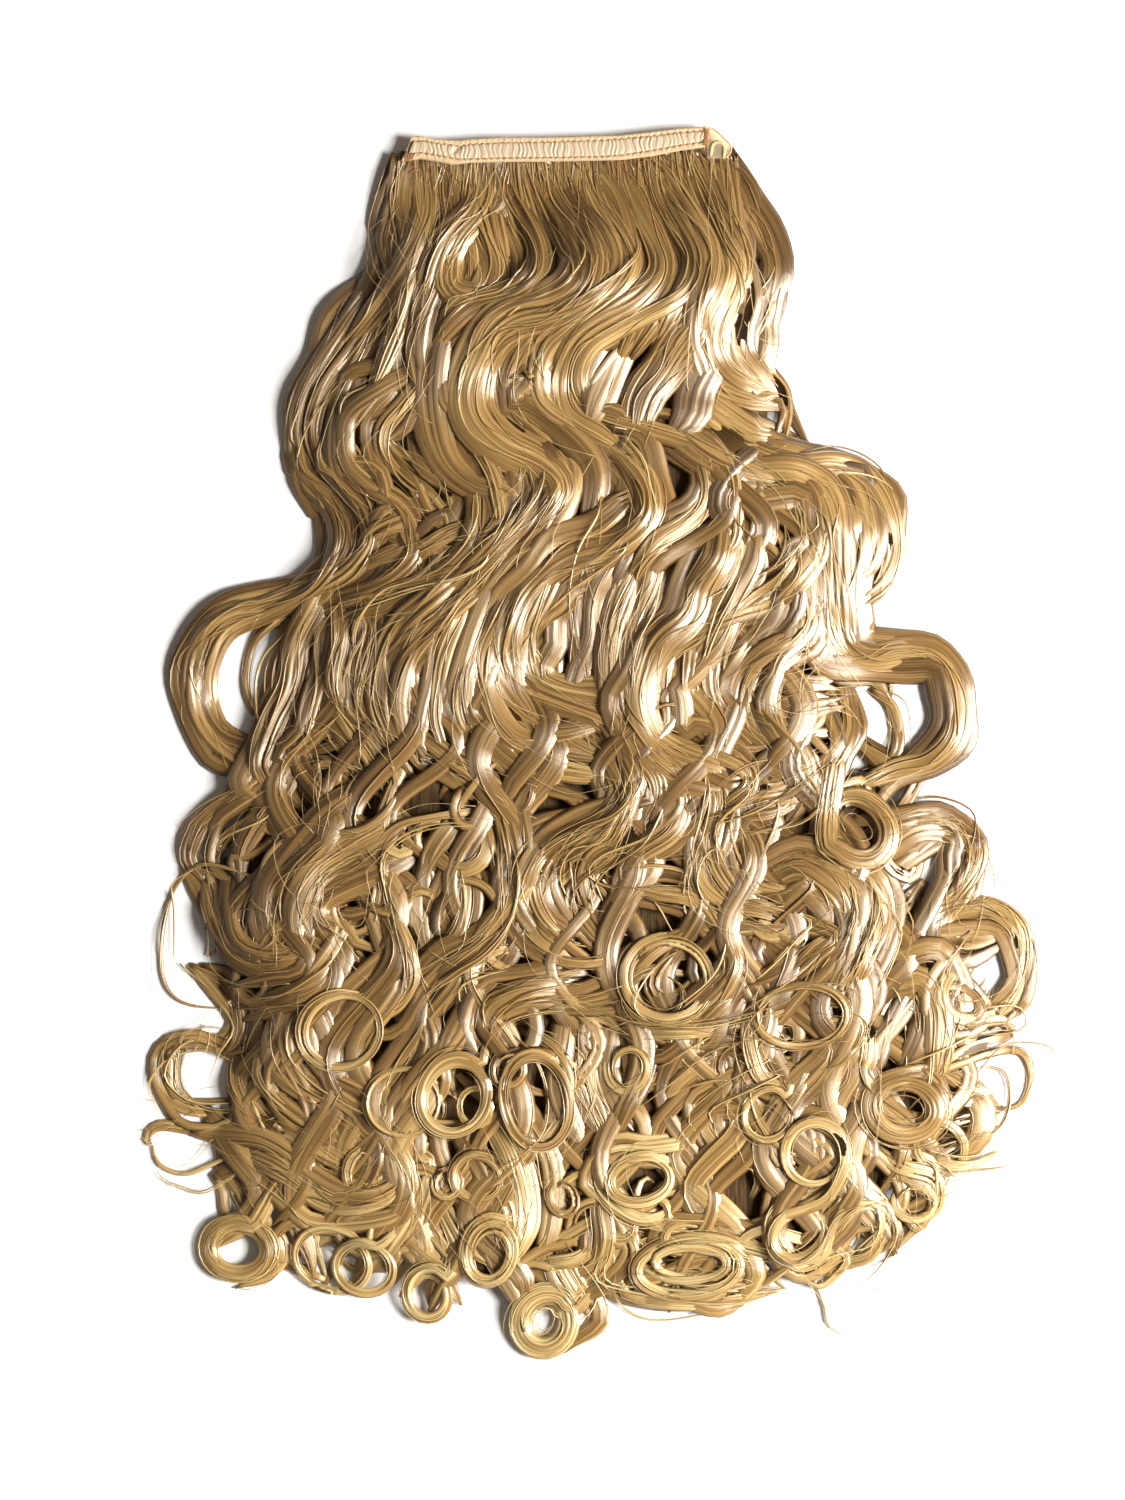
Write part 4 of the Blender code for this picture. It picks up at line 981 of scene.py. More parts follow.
# Curls that close on themselves, in photo pixels. inner: radius where the curl ends.
# lead: where the lock comes from
curls = [
    dict(across=855, down=825, radius=34, inner=26, turns=1.2, start=200, wide=22,
         lead=[(835, 760)]),
    dict(across=903, down=1105, radius=38, inner=28, turns=1.3, start=100, wide=20, high=0.75,
         lead=[(925, 1070)]),
    dict(across=656, down=995, radius=30, inner=24, turns=1.0, start=60, wide=10, lead=[]),
    dict(across=765, down=1110, radius=25, inner=22, turns=1.1, start=40, wide=8, pale=0.12,
         lead=[(790, 1080)]),
    dict(across=450, down=1180, radius=16, inner=12, turns=1.4, start=80, wide=9, lead=[]),
    dict(across=478, down=1175, radius=25, inner=20, turns=1.3, start=30, wide=10, lead=[]),
    dict(across=565, down=1195, radius=17, inner=12, turns=1.5, start=60, wide=9, pale=0.06,
         lead=[]),
    dict(across=511, down=1067, radius=17, inner=12, turns=1.3, start=90, wide=9, lead=[]),
    dict(across=333, down=1258, radius=36, inner=33, turns=1.4, start=20, wide=7, pale=0.14,
         lead=[(372, 1222)]),
    dict(across=365, down=1268, radius=30, inner=25, turns=1.2, start=60, wide=10, pale=0.12,
         lead=[(395, 1230)]),
    dict(across=240, down=1248, radius=30, inner=23, turns=1.5, start=60, wide=19, pale=0.05,
         lead=[(268, 1200)]),
    dict(across=430, down=1292, radius=26, inner=18, turns=1.4, start=40, wide=12, pale=0.12,
         lead=[(455, 1255)]),
    dict(across=546, down=1322, radius=29, inner=22, turns=1.5, start=30, wide=23, pale=0.10,
         lead=[(585, 1290)]),
    dict(across=690, down=1265, radius=56, inner=48, turns=1.2, start=20, wide=13, pale=0.08,
         high=0.55, lead=[]),
    dict(across=690, down=1262, radius=36, inner=28, turns=1.3, start=200, wide=10, pale=0.10,
         high=0.55, lead=[]),
    dict(across=913, down=1202, radius=20, inner=15, turns=1.3, start=60, wide=10, pale=0.10,
         lead=[]),
    dict(across=798, down=1232, radius=27, inner=23, turns=1.0, start=100, wide=12, pale=0.08,
         lead=[]),
    dict(across=640, down=1177, radius=32, inner=26, turns=1.3, start=10, wide=12, pale=0.10,
         high=0.8, lead=[]),
    dict(across=537, down=1098, radius=38, inner=33, turns=1.3, start=60, wide=10, high=1.2,
         lead=[(560, 1050)]),
    dict(across=478, down=1105, radius=19, inner=16, turns=1.2, start=90, wide=7, pale=0.08,
         lead=[]),
    dict(across=490, down=1249, radius=31, inner=16, turns=2.4, start=60, wide=9, pale=0.10,
         high=1.15, lead=[(520, 1215)]),
    dict(across=405, down=1100, radius=36, inner=33, turns=1.1, start=30, wide=6, pale=0.14,
         lead=[]),
    dict(across=456, down=1092, radius=38, inner=30, turns=1.7, start=50, wide=11, pale=0.14,
         lead=[(485, 1050)]),
    dict(across=341, down=1029, radius=41, inner=33, turns=1.9, start=60, wide=8, pale=0.10,
         lead=[(372, 985)]),
    dict(across=626, down=1067, radius=23, inner=17, turns=1.3, start=140, wide=8, pale=0.05,
         lead=[]),
    dict(across=800, down=1012, radius=50, inner=42, turns=1.25, start=170, wide=8, pale=0.10,
         high=0.62, lead=[]),
    dict(across=667, down=976, radius=44, inner=34, turns=1.5, start=70, wide=9, pale=0.10,
         lead=[]),
    dict(across=812, down=1152, radius=34, inner=28, turns=1.1, start=330, wide=11, pale=0.12,
         lead=[(770, 1215), (820, 1200)]),
]


def curlPath(row):
    points = list(row["lead"])
    steps = max(6, round(row["turns"] * 12))
    lobe, phase = dice.uniform(0.04, 0.12), dice.uniform(0, 6.28)
    slip = dice.normal(0, 2.2, 2)
    for k in range(steps + 1):
        share = k / steps
        turn = radians(row["start"]) + share * row["turns"] * 2 * pi
        radius = row["radius"] + (row["inner"] - row["radius"]) * share
        radius *= 1 + lobe * sin(2 * turn + phase)
        points.append((row["across"] + radius * cos(turn) + slip[0] * share,
                       row["down"] - radius * row.get("high", 1.0) * sin(turn) + slip[1] * share))
    return points


# Under-hair: a streaky heap that closes the gaps between deep locks, coloured far darker than the
# hair as painted shade in the gaps

underLook = dict(least=0.0065, floor=0.0006, sink=0.0022, thin=0.0012, stretch=(900, 60, 300),
                 detail=3.0, darkAt=0.35, dark=(0.034, 0.019, 0.008), paleAt=0.70,
                 pale=(0.125, 0.072, 0.028), roughness=0.7, specular=0.1)


def makeUnderHair():
    heap = support[::2, ::2]
    cell = field["cell"] * 2
    cells = heap > underLook["least"]
    rows, columns = np.nonzero(cells)
    keyOf = {}
    corners = []
    quads = []

    def corner(row, column, top):
        key = (row, column, top)
        if key not in keyOf:
            near = [(r, c) for r in (row - 1, row) for c in (column - 1, column)]
            height = np.mean([heap[r, c] for r, c in near]) - underLook["sink"] if top else 0
            x = field["left"] + column * cell
            y = field["low"] + row * cell
            keyOf[key] = len(corners)
            corners.append((x, y, max(height, underLook["thin"]) if top else underLook["floor"]))
        return keyOf[key]

    for row, column in zip(rows.tolist(), columns.tolist()):
        spots = [(row, column), (row, column + 1), (row + 1, column + 1), (row + 1, column)]
        quads.append([corner(r, c, True) for r, c in spots])
        quads.append([corner(r, c, False) for r, c in reversed(spots)])
        for (r, c), first, second in (((row - 1, column), spots[0], spots[1]),
                                      ((row, column + 1), spots[1], spots[2]),
                                      ((row + 1, column), spots[2], spots[3]),
                                      ((row, column - 1), spots[3], spots[0])):
            if not cells[r, c]:
                quads.append([corner(*first, False), corner(*second, False),
                              corner(*second, True), corner(*first, True)])
    mesh = bpy.data.meshes.new("underHair")
    mesh.from_pydata(corners, [], quads)
    mesh.update()
    mesh.shade_smooth()
    material, tree, shader = newMaterial("paintedShadeUnderHair")
    spot = addNode(tree, "ShaderNodeTexCoord")
    stretch = addNode(tree, "ShaderNodeMapping")
    stretch.inputs["Scale"].default_value = underLook["stretch"]
    tree.links.new(spot.outputs["Object"], stretch.inputs["Vector"])
    # painted shade: both under-hair colours are far darker than the locks
    ramp = addNode(tree, "ShaderNodeValToRGB")
    for element, key in zip(ramp.color_ramp.elements, ("dark", "pale")):
        element.position = underLook[key + "At"]
        element.color = (*underLook[key], 1)
    tree.links.new(noiseNode(tree, stretch.outputs["Vector"], 1.0, underLook["detail"]),
                   ramp.inputs["Fac"])
    tree.links.new(ramp.outputs["Color"], shader.inputs["Base Color"])
    shader.inputs["Roughness"].default_value = underLook["roughness"]
    shader.inputs["Specular IOR Level"].default_value = underLook["specular"]
    mesh.materials.append(material)
    item = bpy.data.objects.new("underHair", mesh)
    bpy.context.scene.collection.objects.link(item)
    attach(item, "root")
    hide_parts("hair_fall")
    print("underHair:", len(quads), "faces")


makeUnderHair()

# Locks under the main ones

# depth in these tables: painted shade, how much darker these under-locks are made
fill = dict(sides=4, column=0.0012, step=0.0058, depth=0.34, every=45, inside=0.0045,
            sideShare=0.85, wander=6, leastWide=13)
# The curtain of hair that leaves the band: steps down the photo and the share of its lean there
root = dict(count=46, wide=22, left=408, right=700, above=6, every=5, depth=0.08,
            lean=dict(at=(0, 0.12, 0.3, 1), across=(-14, -6, 25, 42)))
rootSteps = [
    dict(down=0, lean=0.0),
    dict(down=35, lean=0.12),
    dict(down=70, lean=0.5),
    dict(down=105, lean=1.0),
    dict(down=135, lean=0.9),
]
waves = dict(count=110, left=200, right=960, high=430, low=1240, wide=24, solid=0.007,
             open=0.004, middle=560, fan=0.0006, swing=(16, 34), length=(200, 380),
             beat=(140, 210), step=24, tone=-0.02, toneSpread=0.04, relief=0.35)
hiddenCurls = dict(count=90, left=150, right=1010, high=760, low=1290, solid=0.008, open=0.003,
              radius=(13, 34), turns=(0.35, 1.1), squash=(0.55, 1.0), closing=(0.1, 0.5),
              tail=(1.0, 2.6), wide=(8, 17), depth=(0.05, 0.22), step=0.0040, every=6)


def solidAt(across, down):
    x, y = place(across, down)
    row, column = cellOf(x, y)
    return solidTop[row, column]


def besidePath(row, share):
    # a path beside a lock, kept inside the solid hair
    points = np.array(row["path"], float)
    ahead = np.gradient(points, axis=0)
    side = np.stack([-ahead[:, 1], ahead[:, 0]], axis=1)
    side /= np.maximum(np.linalg.norm(side, axis=1, keepdims=True), 1e-6)
    moved = []
    for point, across in zip(points, side):
        best = point
        for part in (1.0, 0.6, 0.3):
            spot = point + across * row["wide"] * share * part
            spot = spot + dice.normal(0, fill["wander"] * part, 2)
            if solidAt(*spot) > fill["inside"]:
                best = spot
                break
        moved.append(tuple(best))
    return moved


def layRoots(bundle):
    for k in range(root["count"]):
        span = root["right"] - root["left"]
        across = root["left"] + span * (k + 0.5) / root["count"] + dice.normal(0, 3)
        lean = np.interp((across - root["left"]) / span, root["lean"]["at"],
                         root["lean"]["across"])
        top = between(bandRows, "across", "bottom", across) - root["above"]
        points = [(across + lean * row["lean"], top + row["down"]) for row in rootSteps]
        points.append((across + lean * 0.4 + dice.normal(0, 6), top + 170))
        points.append((across + dice.normal(-8, 8), top + 205))
        layLock(bundle, points, root["wide"] + dice.normal(0, 3), depth=root["depth"], start=1.0,
                every=root["every"])


def layBeside(bundle, rows, relief):
    for row in rows:
        if row["wide"] < fill["leastWide"]:
            continue
        for share in (-fill["sideShare"], fill["sideShare"]):
            points = besidePath(row, share * dice.uniform(0.8, 1.2))
            layLock(bundle, points, row["wide"] * dice.uniform(0.75, 1.0), row.get("pale", 0) * 0.5,
                    depth=fill["depth"], column=fill["column"], step=fill["step"],
                    every=fill["every"], fewest=0, relief=relief)


def layWaves(bundle):
    # wavy locks that fan out under the whole fall
    laid = 0
    while laid < waves["count"]:
        across = dice.uniform(waves["left"], waves["right"])
        down = dice.uniform(waves["high"], waves["low"])
        if solidAt(across, down) < waves["solid"]:
            continue
        laid += 1
        fan = (across - waves["middle"]) * waves["fan"]
        swing = dice.uniform(*waves["swing"])
        length = dice.uniform(*waves["length"])
        turn = dice.uniform(0, 2 * pi)
        beat = dice.uniform(*waves["beat"])
        points = []
        for along in np.arange(0, length, waves["step"]):
            spot = (across + fan * along + swing * sin(turn + along * 2 * pi / beat), down + along)
            if solidAt(*spot) < waves["open"]:
                break
            points.append(spot)
        if len(points) > 4:
            layLock(bundle, points, waves["wide"] * dice.uniform(0.6, 1.3),
                    pale=dice.normal(waves["tone"], waves["toneSpread"]), depth=fill["depth"],
                    column=fill["column"], step=fill["step"], every=fill["every"], fewest=0,
                    relief=waves["relief"])


def randomCurl(across, down):
    # a tail, then a turning and closing ring, squashed along a leaning line
    turn = dice.uniform(0, 2 * pi)
    radius = dice.uniform(*hiddenCurls["radius"])
    way = dice.choice([-1, 1])
    turns = dice.uniform(*hiddenCurls["turns"])
    squash, lean = dice.uniform(*hiddenCurls["squash"]), dice.uniform(0, pi)
    closing = dice.uniform(*hiddenCurls["closing"])
    x, y = cos(turn) * radius, -sin(turn) * radius
    tail = dice.uniform(*hiddenCurls["tail"]) * radius
    around = [(x + sin(turn) * way * tail * share, y + cos(turn) * way * tail * share)
              for share in (1.0, 0.5)]
    steps = round(turns * 9) + 2
    for k in range(steps + 1):
        angle = turn + way * k / steps * turns * 2 * pi
        size = radius * (1 - closing * k / steps)
        around.append((size * cos(angle), -size * sin(angle)))
    points = []
    for x, y in around:
        near, far = x * cos(lean) + y * sin(lean), y * cos(lean) - x * sin(lean)
        far *= squash
        spot = (across + near * cos(lean) - far * sin(lean),
                down + near * sin(lean) + far * cos(lean))
        if solidAt(*spot) > hiddenCurls["open"]:
            points.append(spot)
    return points, radius


def layRandomCurls(bundle):
    laid = 0
    while laid < hiddenCurls["count"]:
        across = dice.uniform(hiddenCurls["left"], hiddenCurls["right"])
        down = dice.uniform(hiddenCurls["high"], hiddenCurls["low"])
        if solidAt(across, down) < hiddenCurls["solid"]:
            continue
        laid += 1
        points, radius = randomCurl(across, down)
        if len(points) < 5:
            continue
        layLock(bundle, points, min(dice.uniform(*hiddenCurls["wide"]), radius * 0.5),
                pale=dice.normal(0.02, 0.05), depth=dice.uniform(*hiddenCurls["depth"]),
                column=fill["column"], step=hiddenCurls["step"], tip=0.4, every=hiddenCurls["every"],
                sway=2.5, relief=0.2, fine=0.8)


def layRows(bundle, rows, relief=1.0, sway=1.0, fine=0.0):
    for row in rows:
        layLock(bundle, row["path"], row["wide"], row.get("pale", 0.0), relief=relief, sway=sway,
                depth=row.get("depth", 0.08), tip=row.get("tip", 0.6), fine=fine)


backWaves = newBundle("backWaves", fill["sides"])
layWaves(backWaves)
finishBundle(backWaves, hairMaterial)

backLocks = newBundle("backLocks", fill["sides"])
for rows in (leftLocks, endLocks, lowerLocks, rightLocks):
    layBeside(backLocks, rows, 0.3)
finishBundle(backLocks, hairMaterial)

rootLocks = newBundle("rootLocks", fill["sides"])
for rows in (middleLocks, flankLocks, upperLocks):
    layBeside(rootLocks, rows, 1.0)
layRoots(rootLocks)
finishBundle(rootLocks, hairMaterial)

backCurls = newBundle("backCurls", fill["sides"])
layRandomCurls(backCurls)
finishBundle(backCurls, hairMaterial)

# relief: how much a lock rises and falls. sway: how unevenly. fine: how thin its parts are
mainLocks = [
    dict(name="leftLocks", rows=leftLocks, relief=0.5, sway=2.8, fine=0.8),
    dict(name="endLocks", rows=endLocks, relief=0.2, sway=3.2, fine=1.0),
    dict(name="lowerLocks", rows=lowerLocks, relief=0.3, sway=3.2, fine=0.8),
    dict(name="rightLocks", rows=rightLocks, relief=0.8, sway=1.2, fine=0.2),
    dict(name="flankLocks", rows=flankLocks, relief=0.9, sway=1.2, fine=0.1),
    dict(name="middleLocks", rows=middleLocks, relief=0.7, sway=1.8, fine=0.2),
    dict(name="upperLocks", rows=upperLocks, relief=1.0, sway=1.0, fine=0.0),
]
for group in mainLocks:
    bundle = newBundle(group["name"], 4 if group["fine"] > 0.5 else 6)
    layRows(bundle, group["rows"], group["relief"], group["sway"], group["fine"])
    finishBundle(bundle, hairMaterial)

curlLift = 0.0036  # the end curls lie loose on the locks
endCurls = newBundle("endCurls", 4)
for row in curls:
    layLock(endCurls, curlPath(row), row["wide"], row.get("pale", 0.0), depth=0.05, tip=0.4,
            sway=1.5, relief=0.1, dive=False, fine=1.0, lift=curlLift)
layRows(endCurls, flyingLocks, fine=1.0)
finishBundle(endCurls, hairMaterial)

# Wisps: a few hairs together that wander off their lock

wisp = dict(count=230, off=9, least=2.0, most=5.0, reachDown=330, startDown=240, paler=0.08,
            paleSpread=0.06, step=0.0042, every=1.4, lift=0.0010)


def layWisps():
    bundle = newBundle("wisps", 4)
    rows = [row for rows in (upperLocks, flankLocks, middleLocks, rightLocks, lowerLocks,
                             lowerLocks, leftLocks, endLocks, endLocks) for row in rows]
    for _ in range(wisp["count"]):
        path = np.array(rows[dice.integers(len(rows))]["path"], float)
        if len(path) < 5 or path[:, 1].max() < wisp["reachDown"]:
            continue
        first = dice.integers(0, max(len(path) - 5, 1))
        path = path[first:first + dice.integers(5, 9)]
        if path[0][1] < wisp["startDown"]:
            continue
        away = np.cumsum(dice.normal(0, wisp["off"] * 0.6, (len(path), 2)), axis=0)
        path = path + away + dice.normal(0, wisp["off"], 2)
        layLock(bundle, [tuple(point) for point in path], dice.uniform(wisp["least"], wisp["most"]),
                pale=dice.normal(wisp["paler"], wisp["paleSpread"]), depth=0.0,
                step=wisp["step"], every=wisp["every"], lift=dice.uniform(0, wisp["lift"]),
                thin=True)
    finishBundle(bundle, hairMaterial)


layWisps()

# Stray hairs that have slipped out of their locks

stray = dict(count=420, half=0.00014, step=0.0045, off=16, lift=0.0012, rootHeight=0.0046,
             tone=0.75, toneSpread=0.1)


def layStrays():
    bundle = newBundle("strayHairs", 3)
    rows = [row for rows in (upperLocks, flankLocks, middleLocks, rightLocks, lowerLocks,
                             leftLocks, endLocks) for row in rows]
    for _ in range(stray["count"]):
        path = np.array(rows[dice.integers(len(rows))]["path"], float)
        first = dice.integers(0, max(len(path) - 4, 1))
        path = path[first:first + dice.integers(4, 8)]
        away = np.cumsum(dice.normal(0, stray["off"] * 0.5, (len(path), 2)), axis=0)
        path = path + away + dice.normal(0, stray["off"] * 0.6, 2)
        line = smoothPath([place(*point) for point in path], stray["step"])
        count = len(line)
        side = flatSide(line)
        rest = eased(heightUnder(line, side, np.full(count, 0.001)), 2, 4)
        z = rest + stray["lift"] * dice.uniform(0, 1) + stray["half"]
        z = np.minimum(z, field["ceiling"])
        below = np.clip((bandLow(line[:, 0]) - line[:, 1]) / layer["rootReach"], 0, 1)
        z = stray["rootHeight"] + (z - stray["rootHeight"]) * below
        half = stray["half"] * dice.uniform(0.7, 1.3)
        addStrand(bundle, np.column_stack([line, np.maximum(z, half)]), np.full(count, half),
                  np.full(count, half), stray["tone"] + dice.normal(0, stray["toneSpread"]), 0.0)
    finishBundle(bundle, hairMaterial)


layStrays()

# The band: a folded cream tape with a stitched hem along both edges and a gathered satin strip

band = dict(base=0.0048, web=0.0012, hem=0.0020, panelBase=0.0063, panel=0.0010, slant=11,
            slantFade=34, pitch=0.00325, column=0.5, sharp=50, least=0.0001)
# The two rolled hems: shares are parts of a hem's width
hem = dict(rows=34, rise=0.30, power=0.7, fallFrom=0.80, fallTo=1.20, dimple=0.00022,
           dimpleAt=0.95, dimpleWide=0.25, crease=0.00009, creaseFade=0.4)
# The gathered strip between them
strip = dict(rows=18, setIn=5, gap=0.6, gather=0.0028, depth=0.00017, small=0.57, low=0.35,
             crown=0.5, crownPower=0.35, notch=(457, 151), notchLean=0.6, notchWide=3.0,
             notchDepth=0.0007)
stitch = dict(length=0.0020, thick=0.00024, flat=1.25, sunk=0.00012, drift=0.15, turn=0.05,
              tilt=0.03, longer=(0.85, 1.12), apart=(0.92, 1.08), first=6, last=3, segments=8,
              rings=6)


def bandEdge(column, across):
    return between(bandRows, "across", column, across)


def bandSpot(across, down):
    # the left end is cut at a slant: its top corner is set in
    foot = bandEdge("bottom", across)
    head = bandEdge("top", across)
    near = np.clip(1 - (across - bandRows[0]["across"]) / band["slantFade"], 0, 1)
    return place(across + band["slant"] * near * (foot - down) / (foot - head), down)


def gridSolid(name, top, low):
    # one closed sheet from its upper surface and the height of its underside
    count, rows = top.shape[:2]
    under = top.copy()
    under[:, :, 2] = low
    corners = np.vstack([top.reshape(-1, 3), under.reshape(-1, 3)])
    key = np.arange(count * rows).reshape(count, rows)
    deep = key + count * rows
    faces = [np.stack([key[:-1, :-1], key[1:, :-1], key[1:, 1:], key[:-1, 1:]], axis=2),
             np.stack([deep[:-1, :-1], deep[:-1, 1:], deep[1:, 1:], deep[1:, :-1]], axis=2)]
    faces = [grid.reshape(-1, 4) for grid in faces]
    for near, far in ((key[:, 0], deep[:, 0]), (key[::-1, -1], deep[::-1, -1]),
                      (key[0, ::-1], deep[0, ::-1]), (key[-1, :], deep[-1, :])):
        faces.append(np.stack([far[:-1], far[1:], near[1:], near[:-1]], axis=1))
    mesh = bpy.data.meshes.new(name)
    mesh.from_pydata(corners.tolist(), [], np.vstack(faces).tolist())
    mesh.update()
    mesh.shade_smooth()
    mesh.set_sharp_from_angle(angle=radians(band["sharp"]))
    item = bpy.data.objects.new(name, mesh)
    bpy.context.scene.collection.objects.link(item)
    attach(item, "root")
    return item


def softStep(low, high, value):
    share = np.clip((value - low) / (high - low), 0, 1)
    return share * share * (3 - 2 * share)


def makeTape():
    columns = np.arange(bandRows[0]["across"], bandRows[-1]["across"] + 0.1, band["column"])
    shares = np.linspace(0, 1, hem["rows"])
    head, foot = bandEdge("top", columns), bandEdge("bottom", columns)
    upper, lower = bandEdge("upper", columns), bandEdge("lower", columns)
    top = np.zeros((len(columns), len(shares), 3))
    for k, share in enumerate(shares):
        down = foot + (head - foot) * share
        x, y = bandSpot(columns, down)
        inLow = (foot - down) / (foot - lower)
        inHigh = (down - head) / (upper - head)
        inside = np.minimum(inLow, inHigh)
        height = np.sin(np.clip(inside / hem["rise"], 0, 1) * pi / 2)**hem["power"] * band["hem"]
        height = height - (softStep(hem["fallFrom"], hem["fallTo"], inside)
                           * (band["hem"] - band["web"]))
        beat = 0.5 + 0.5 * np.cos(2 * pi * x / band["pitch"])
        near = np.exp(-((inside - hem["dimpleAt"]) / hem["dimpleWide"])**2)
        height = height - hem["dimple"] * beat * near
        crease = np.sin(x * 1900 + 2 * np.sin(x * 310)) * np.sin(x * 730 + 1)
        height = height + hem["crease"] * crease * np.clip(inside / hem["creaseFade"], 0, 1)
        height = band["base"] + np.maximum(height, band["least"])
        top[:, k] = np.stack([x, y, height], axis=1)
    tape = gridSolid("bandTape", top, band["base"])
    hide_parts("band_tape")
    return tape


def makePanel():
    columns = np.arange(bandRows[0]["across"] + strip["setIn"], bandRows[-1]["across"] - 1,
                        band["column"])
    shares = np.linspace(0, 1, strip["rows"])
    upper = bandEdge("upper", columns) + strip["gap"]
    lower = bandEdge("lower", columns) - strip["gap"]
    busy = 0.75 + 0.25 * np.sin(columns * 0.043 - 1.2) * np.sin(columns * 0.11)
    top = np.zeros((len(columns), len(shares), 3))
    for k, share in enumerate(shares):
        down = lower + (upper - lower) * share
        x, y = bandSpot(columns, down)
        bend = x + 0.0005 * np.sin(share * 5 + x * 260)
        folds = np.sin(2 * pi * bend / strip["gather"] + 1.9 * np.sin(bend * 420)
                       + 1.3 * np.sin(bend * 173 + 2))
        folds = folds + 0.5 * np.sin(2 * pi * bend / (strip["gather"] * strip["small"])
                                     + 3 * share)
        crown = np.sin(np.clip(share, 0.0, 1) * pi)**strip["crownPower"]
        height = band["panel"] * (strip["low"] + strip["crown"] * crown)
        height = height + strip["depth"] * busy * folds * (0.45 + 0.55 * (1 - crown * 0.5))
        off = columns - strip["notch"][0] + (down - strip["notch"][1]) * strip["notchLean"]
        notch = (off / strip["notchWide"])**2
        height = height - strip["notchDepth"] * np.exp(-notch) * softStep(0.15, 0.6, share)
        height = band["panelBase"] + np.maximum(height, band["least"])
        top[:, k] = np.stack([x, y, height], axis=1)
    panel = gridSolid("bandPanel", top, band["panelBase"])
    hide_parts("band_panel")
    return panel


def makeStitches(material):
    # one thread end-rounded, then copied along both rows
    for item in bpy.context.selected_objects:
        item.select_set(False)
    bpy.ops.mesh.primitive_uv_sphere_add(segments=stitch["segments"],
                                         ring_count=stitch["rings"], radius=1)
    model = bpy.context.object
    bpy.ops.object.mode_set(mode="EDIT")
    bpy.ops.mesh.select_all(action="SELECT")
    bpy.ops.transform.resize(value=(stitch["length"] / 2, stitch["thick"] * stitch["flat"],
                                    stitch["thick"]))
    bpy.ops.object.mode_set(mode="OBJECT")
    copies = []
    for column in ("upper", "lower"):
        across = bandRows[0]["across"] + stitch["first"]
        while across < bandRows[-1]["across"] - stitch["last"]:
            down = bandEdge(column, across) + dice.normal(0, stitch["drift"])
            x, y = bandSpot(across, down)
            ahead = bandEdge(column, across + 3) - bandEdge(column, across - 3)
            copy = model.copy()
            copy.data = model.data.copy()
            turn = -np.arctan2(ahead, 6) + dice.normal(0, stitch["turn"])
            copy.rotation_euler = (0, dice.normal(0, stitch["tilt"]), turn)
            copy.location = (x, y, band["base"] + band["hem"] - stitch["sunk"])
            copy.scale = (dice.uniform(*stitch["longer"]), 1, 1)
            bpy.context.scene.collection.objects.link(copy)
            copies.append(copy)
            across += band["pitch"] / photo["pixel"] * dice.uniform(*stitch["apart"])
    bpy.data.objects.remove(model, do_unlink=True)
    for item in copies:
        item.select_set(True)
    bpy.context.view_layer.objects.active = copies[0]
    bpy.ops.object.join()
    stitches = bpy.context.object
    bpy.ops.object.transform_apply(location=True, rotation=True, scale=True)
    stitches.name = "bandStitches"
    stitches.data.shade_smooth()
    stitches.data.materials.append(material)
    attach(stitches, "root")
    print("bandStitches:", len(copies))


# Threads wound over the right end, side by side over the left one, and loose under both
tack = dict(half=0.00021, step=0.0006, right=(706, 139), rightHigh=17, rightWide=7, turns=11,
            lean=0.12, layers=(0.0, 0.0002), rise=0.0003, left=(409, 158), leftCount=9,
            leftApart=1.1, leftRows=(-0.0007, 0.0002, 0.0002, -0.0007), leftStep=3.4,
            leftMost=404, loopHigh=0.0050, loopRise=0.0002, loopStep=0.0012)
loopRows = [
    dict(across=417, down=166, spread=7, count=7),
    dict(across=640, down=155, spread=26, count=7),
    dict(across=700, down=142, spread=6, count=5),
]


def addThread(bundle, points, half):
    line = smoothPath(points, tack["step"])
    addStrand(bundle, line, np.full(len(line), half), np.full(len(line), half * 0.9), 0.5, 0.0)


def makeTacks(material):
    bundle = newBundle("tackThreads", 6)
    high = band["base"] + band["hem"] + band["least"]
    for layerHigh in tack["layers"]:
        points = []
        for k in range(tack["turns"] * 2):
            down = tack["right"][1] + (k / (tack["turns"] * 2 - 1) - 0.5) * tack["rightHigh"]
            wide = tack["rightWide"] / 2 * (1 if k % 2 else -1) * dice.uniform(0.6, 1.1)
            x, y = place(tack["right"][0] + wide - (down - tack["right"][1]) * tack["lean"], down)
            points.append((x, y, high + layerHigh + dice.uniform(0, tack["rise"])))
        addThread(bundle, points, tack["half"])
    for k in range(tack["leftCount"]):
        across = tack["left"][0] + (k - tack["leftCount"] // 2) * tack["leftApart"]
        points = []
        for j, rise in enumerate(tack["leftRows"]):
            down = tack["left"][1] + (j - 1.5) * tack["leftStep"] + dice.normal(0, 0.5)
            x, y = bandSpot(max(across + dice.normal(0, 0.9), tack["leftMost"]), down)
            points.append((x, y, high + rise))
        addThread(bundle, points, tack["half"] * 0.8)
    for row in loopRows:
        for _ in range(row["count"]):
            x0, y0 = place(row["across"] + dice.normal(0, row["spread"]),
                           row["down"] + dice.normal(0, 2))
            points = []
            for j in range(6):
                points.append((x0 + dice.normal(0, 0.0016),
                               y0 - j * tack["loopStep"] + dice.normal(0, 0.0005),
                               tack["loopHigh"] + tack["loopRise"] * j))
            addThread(bundle, points, tack["half"] * 0.45)
    finishBundle(bundle, material)


clothLook = dict(distortion=1.2, waveDetail=1.0, fleck=260, fleckDetail=4, threads=0.5,
                 flecks=0.7, roughSpread=0.12, bumpDistance=0.00012)
threadLook = dict(twist=900, roughness=0.55, bump=0.4, bumpDistance=0.00005)


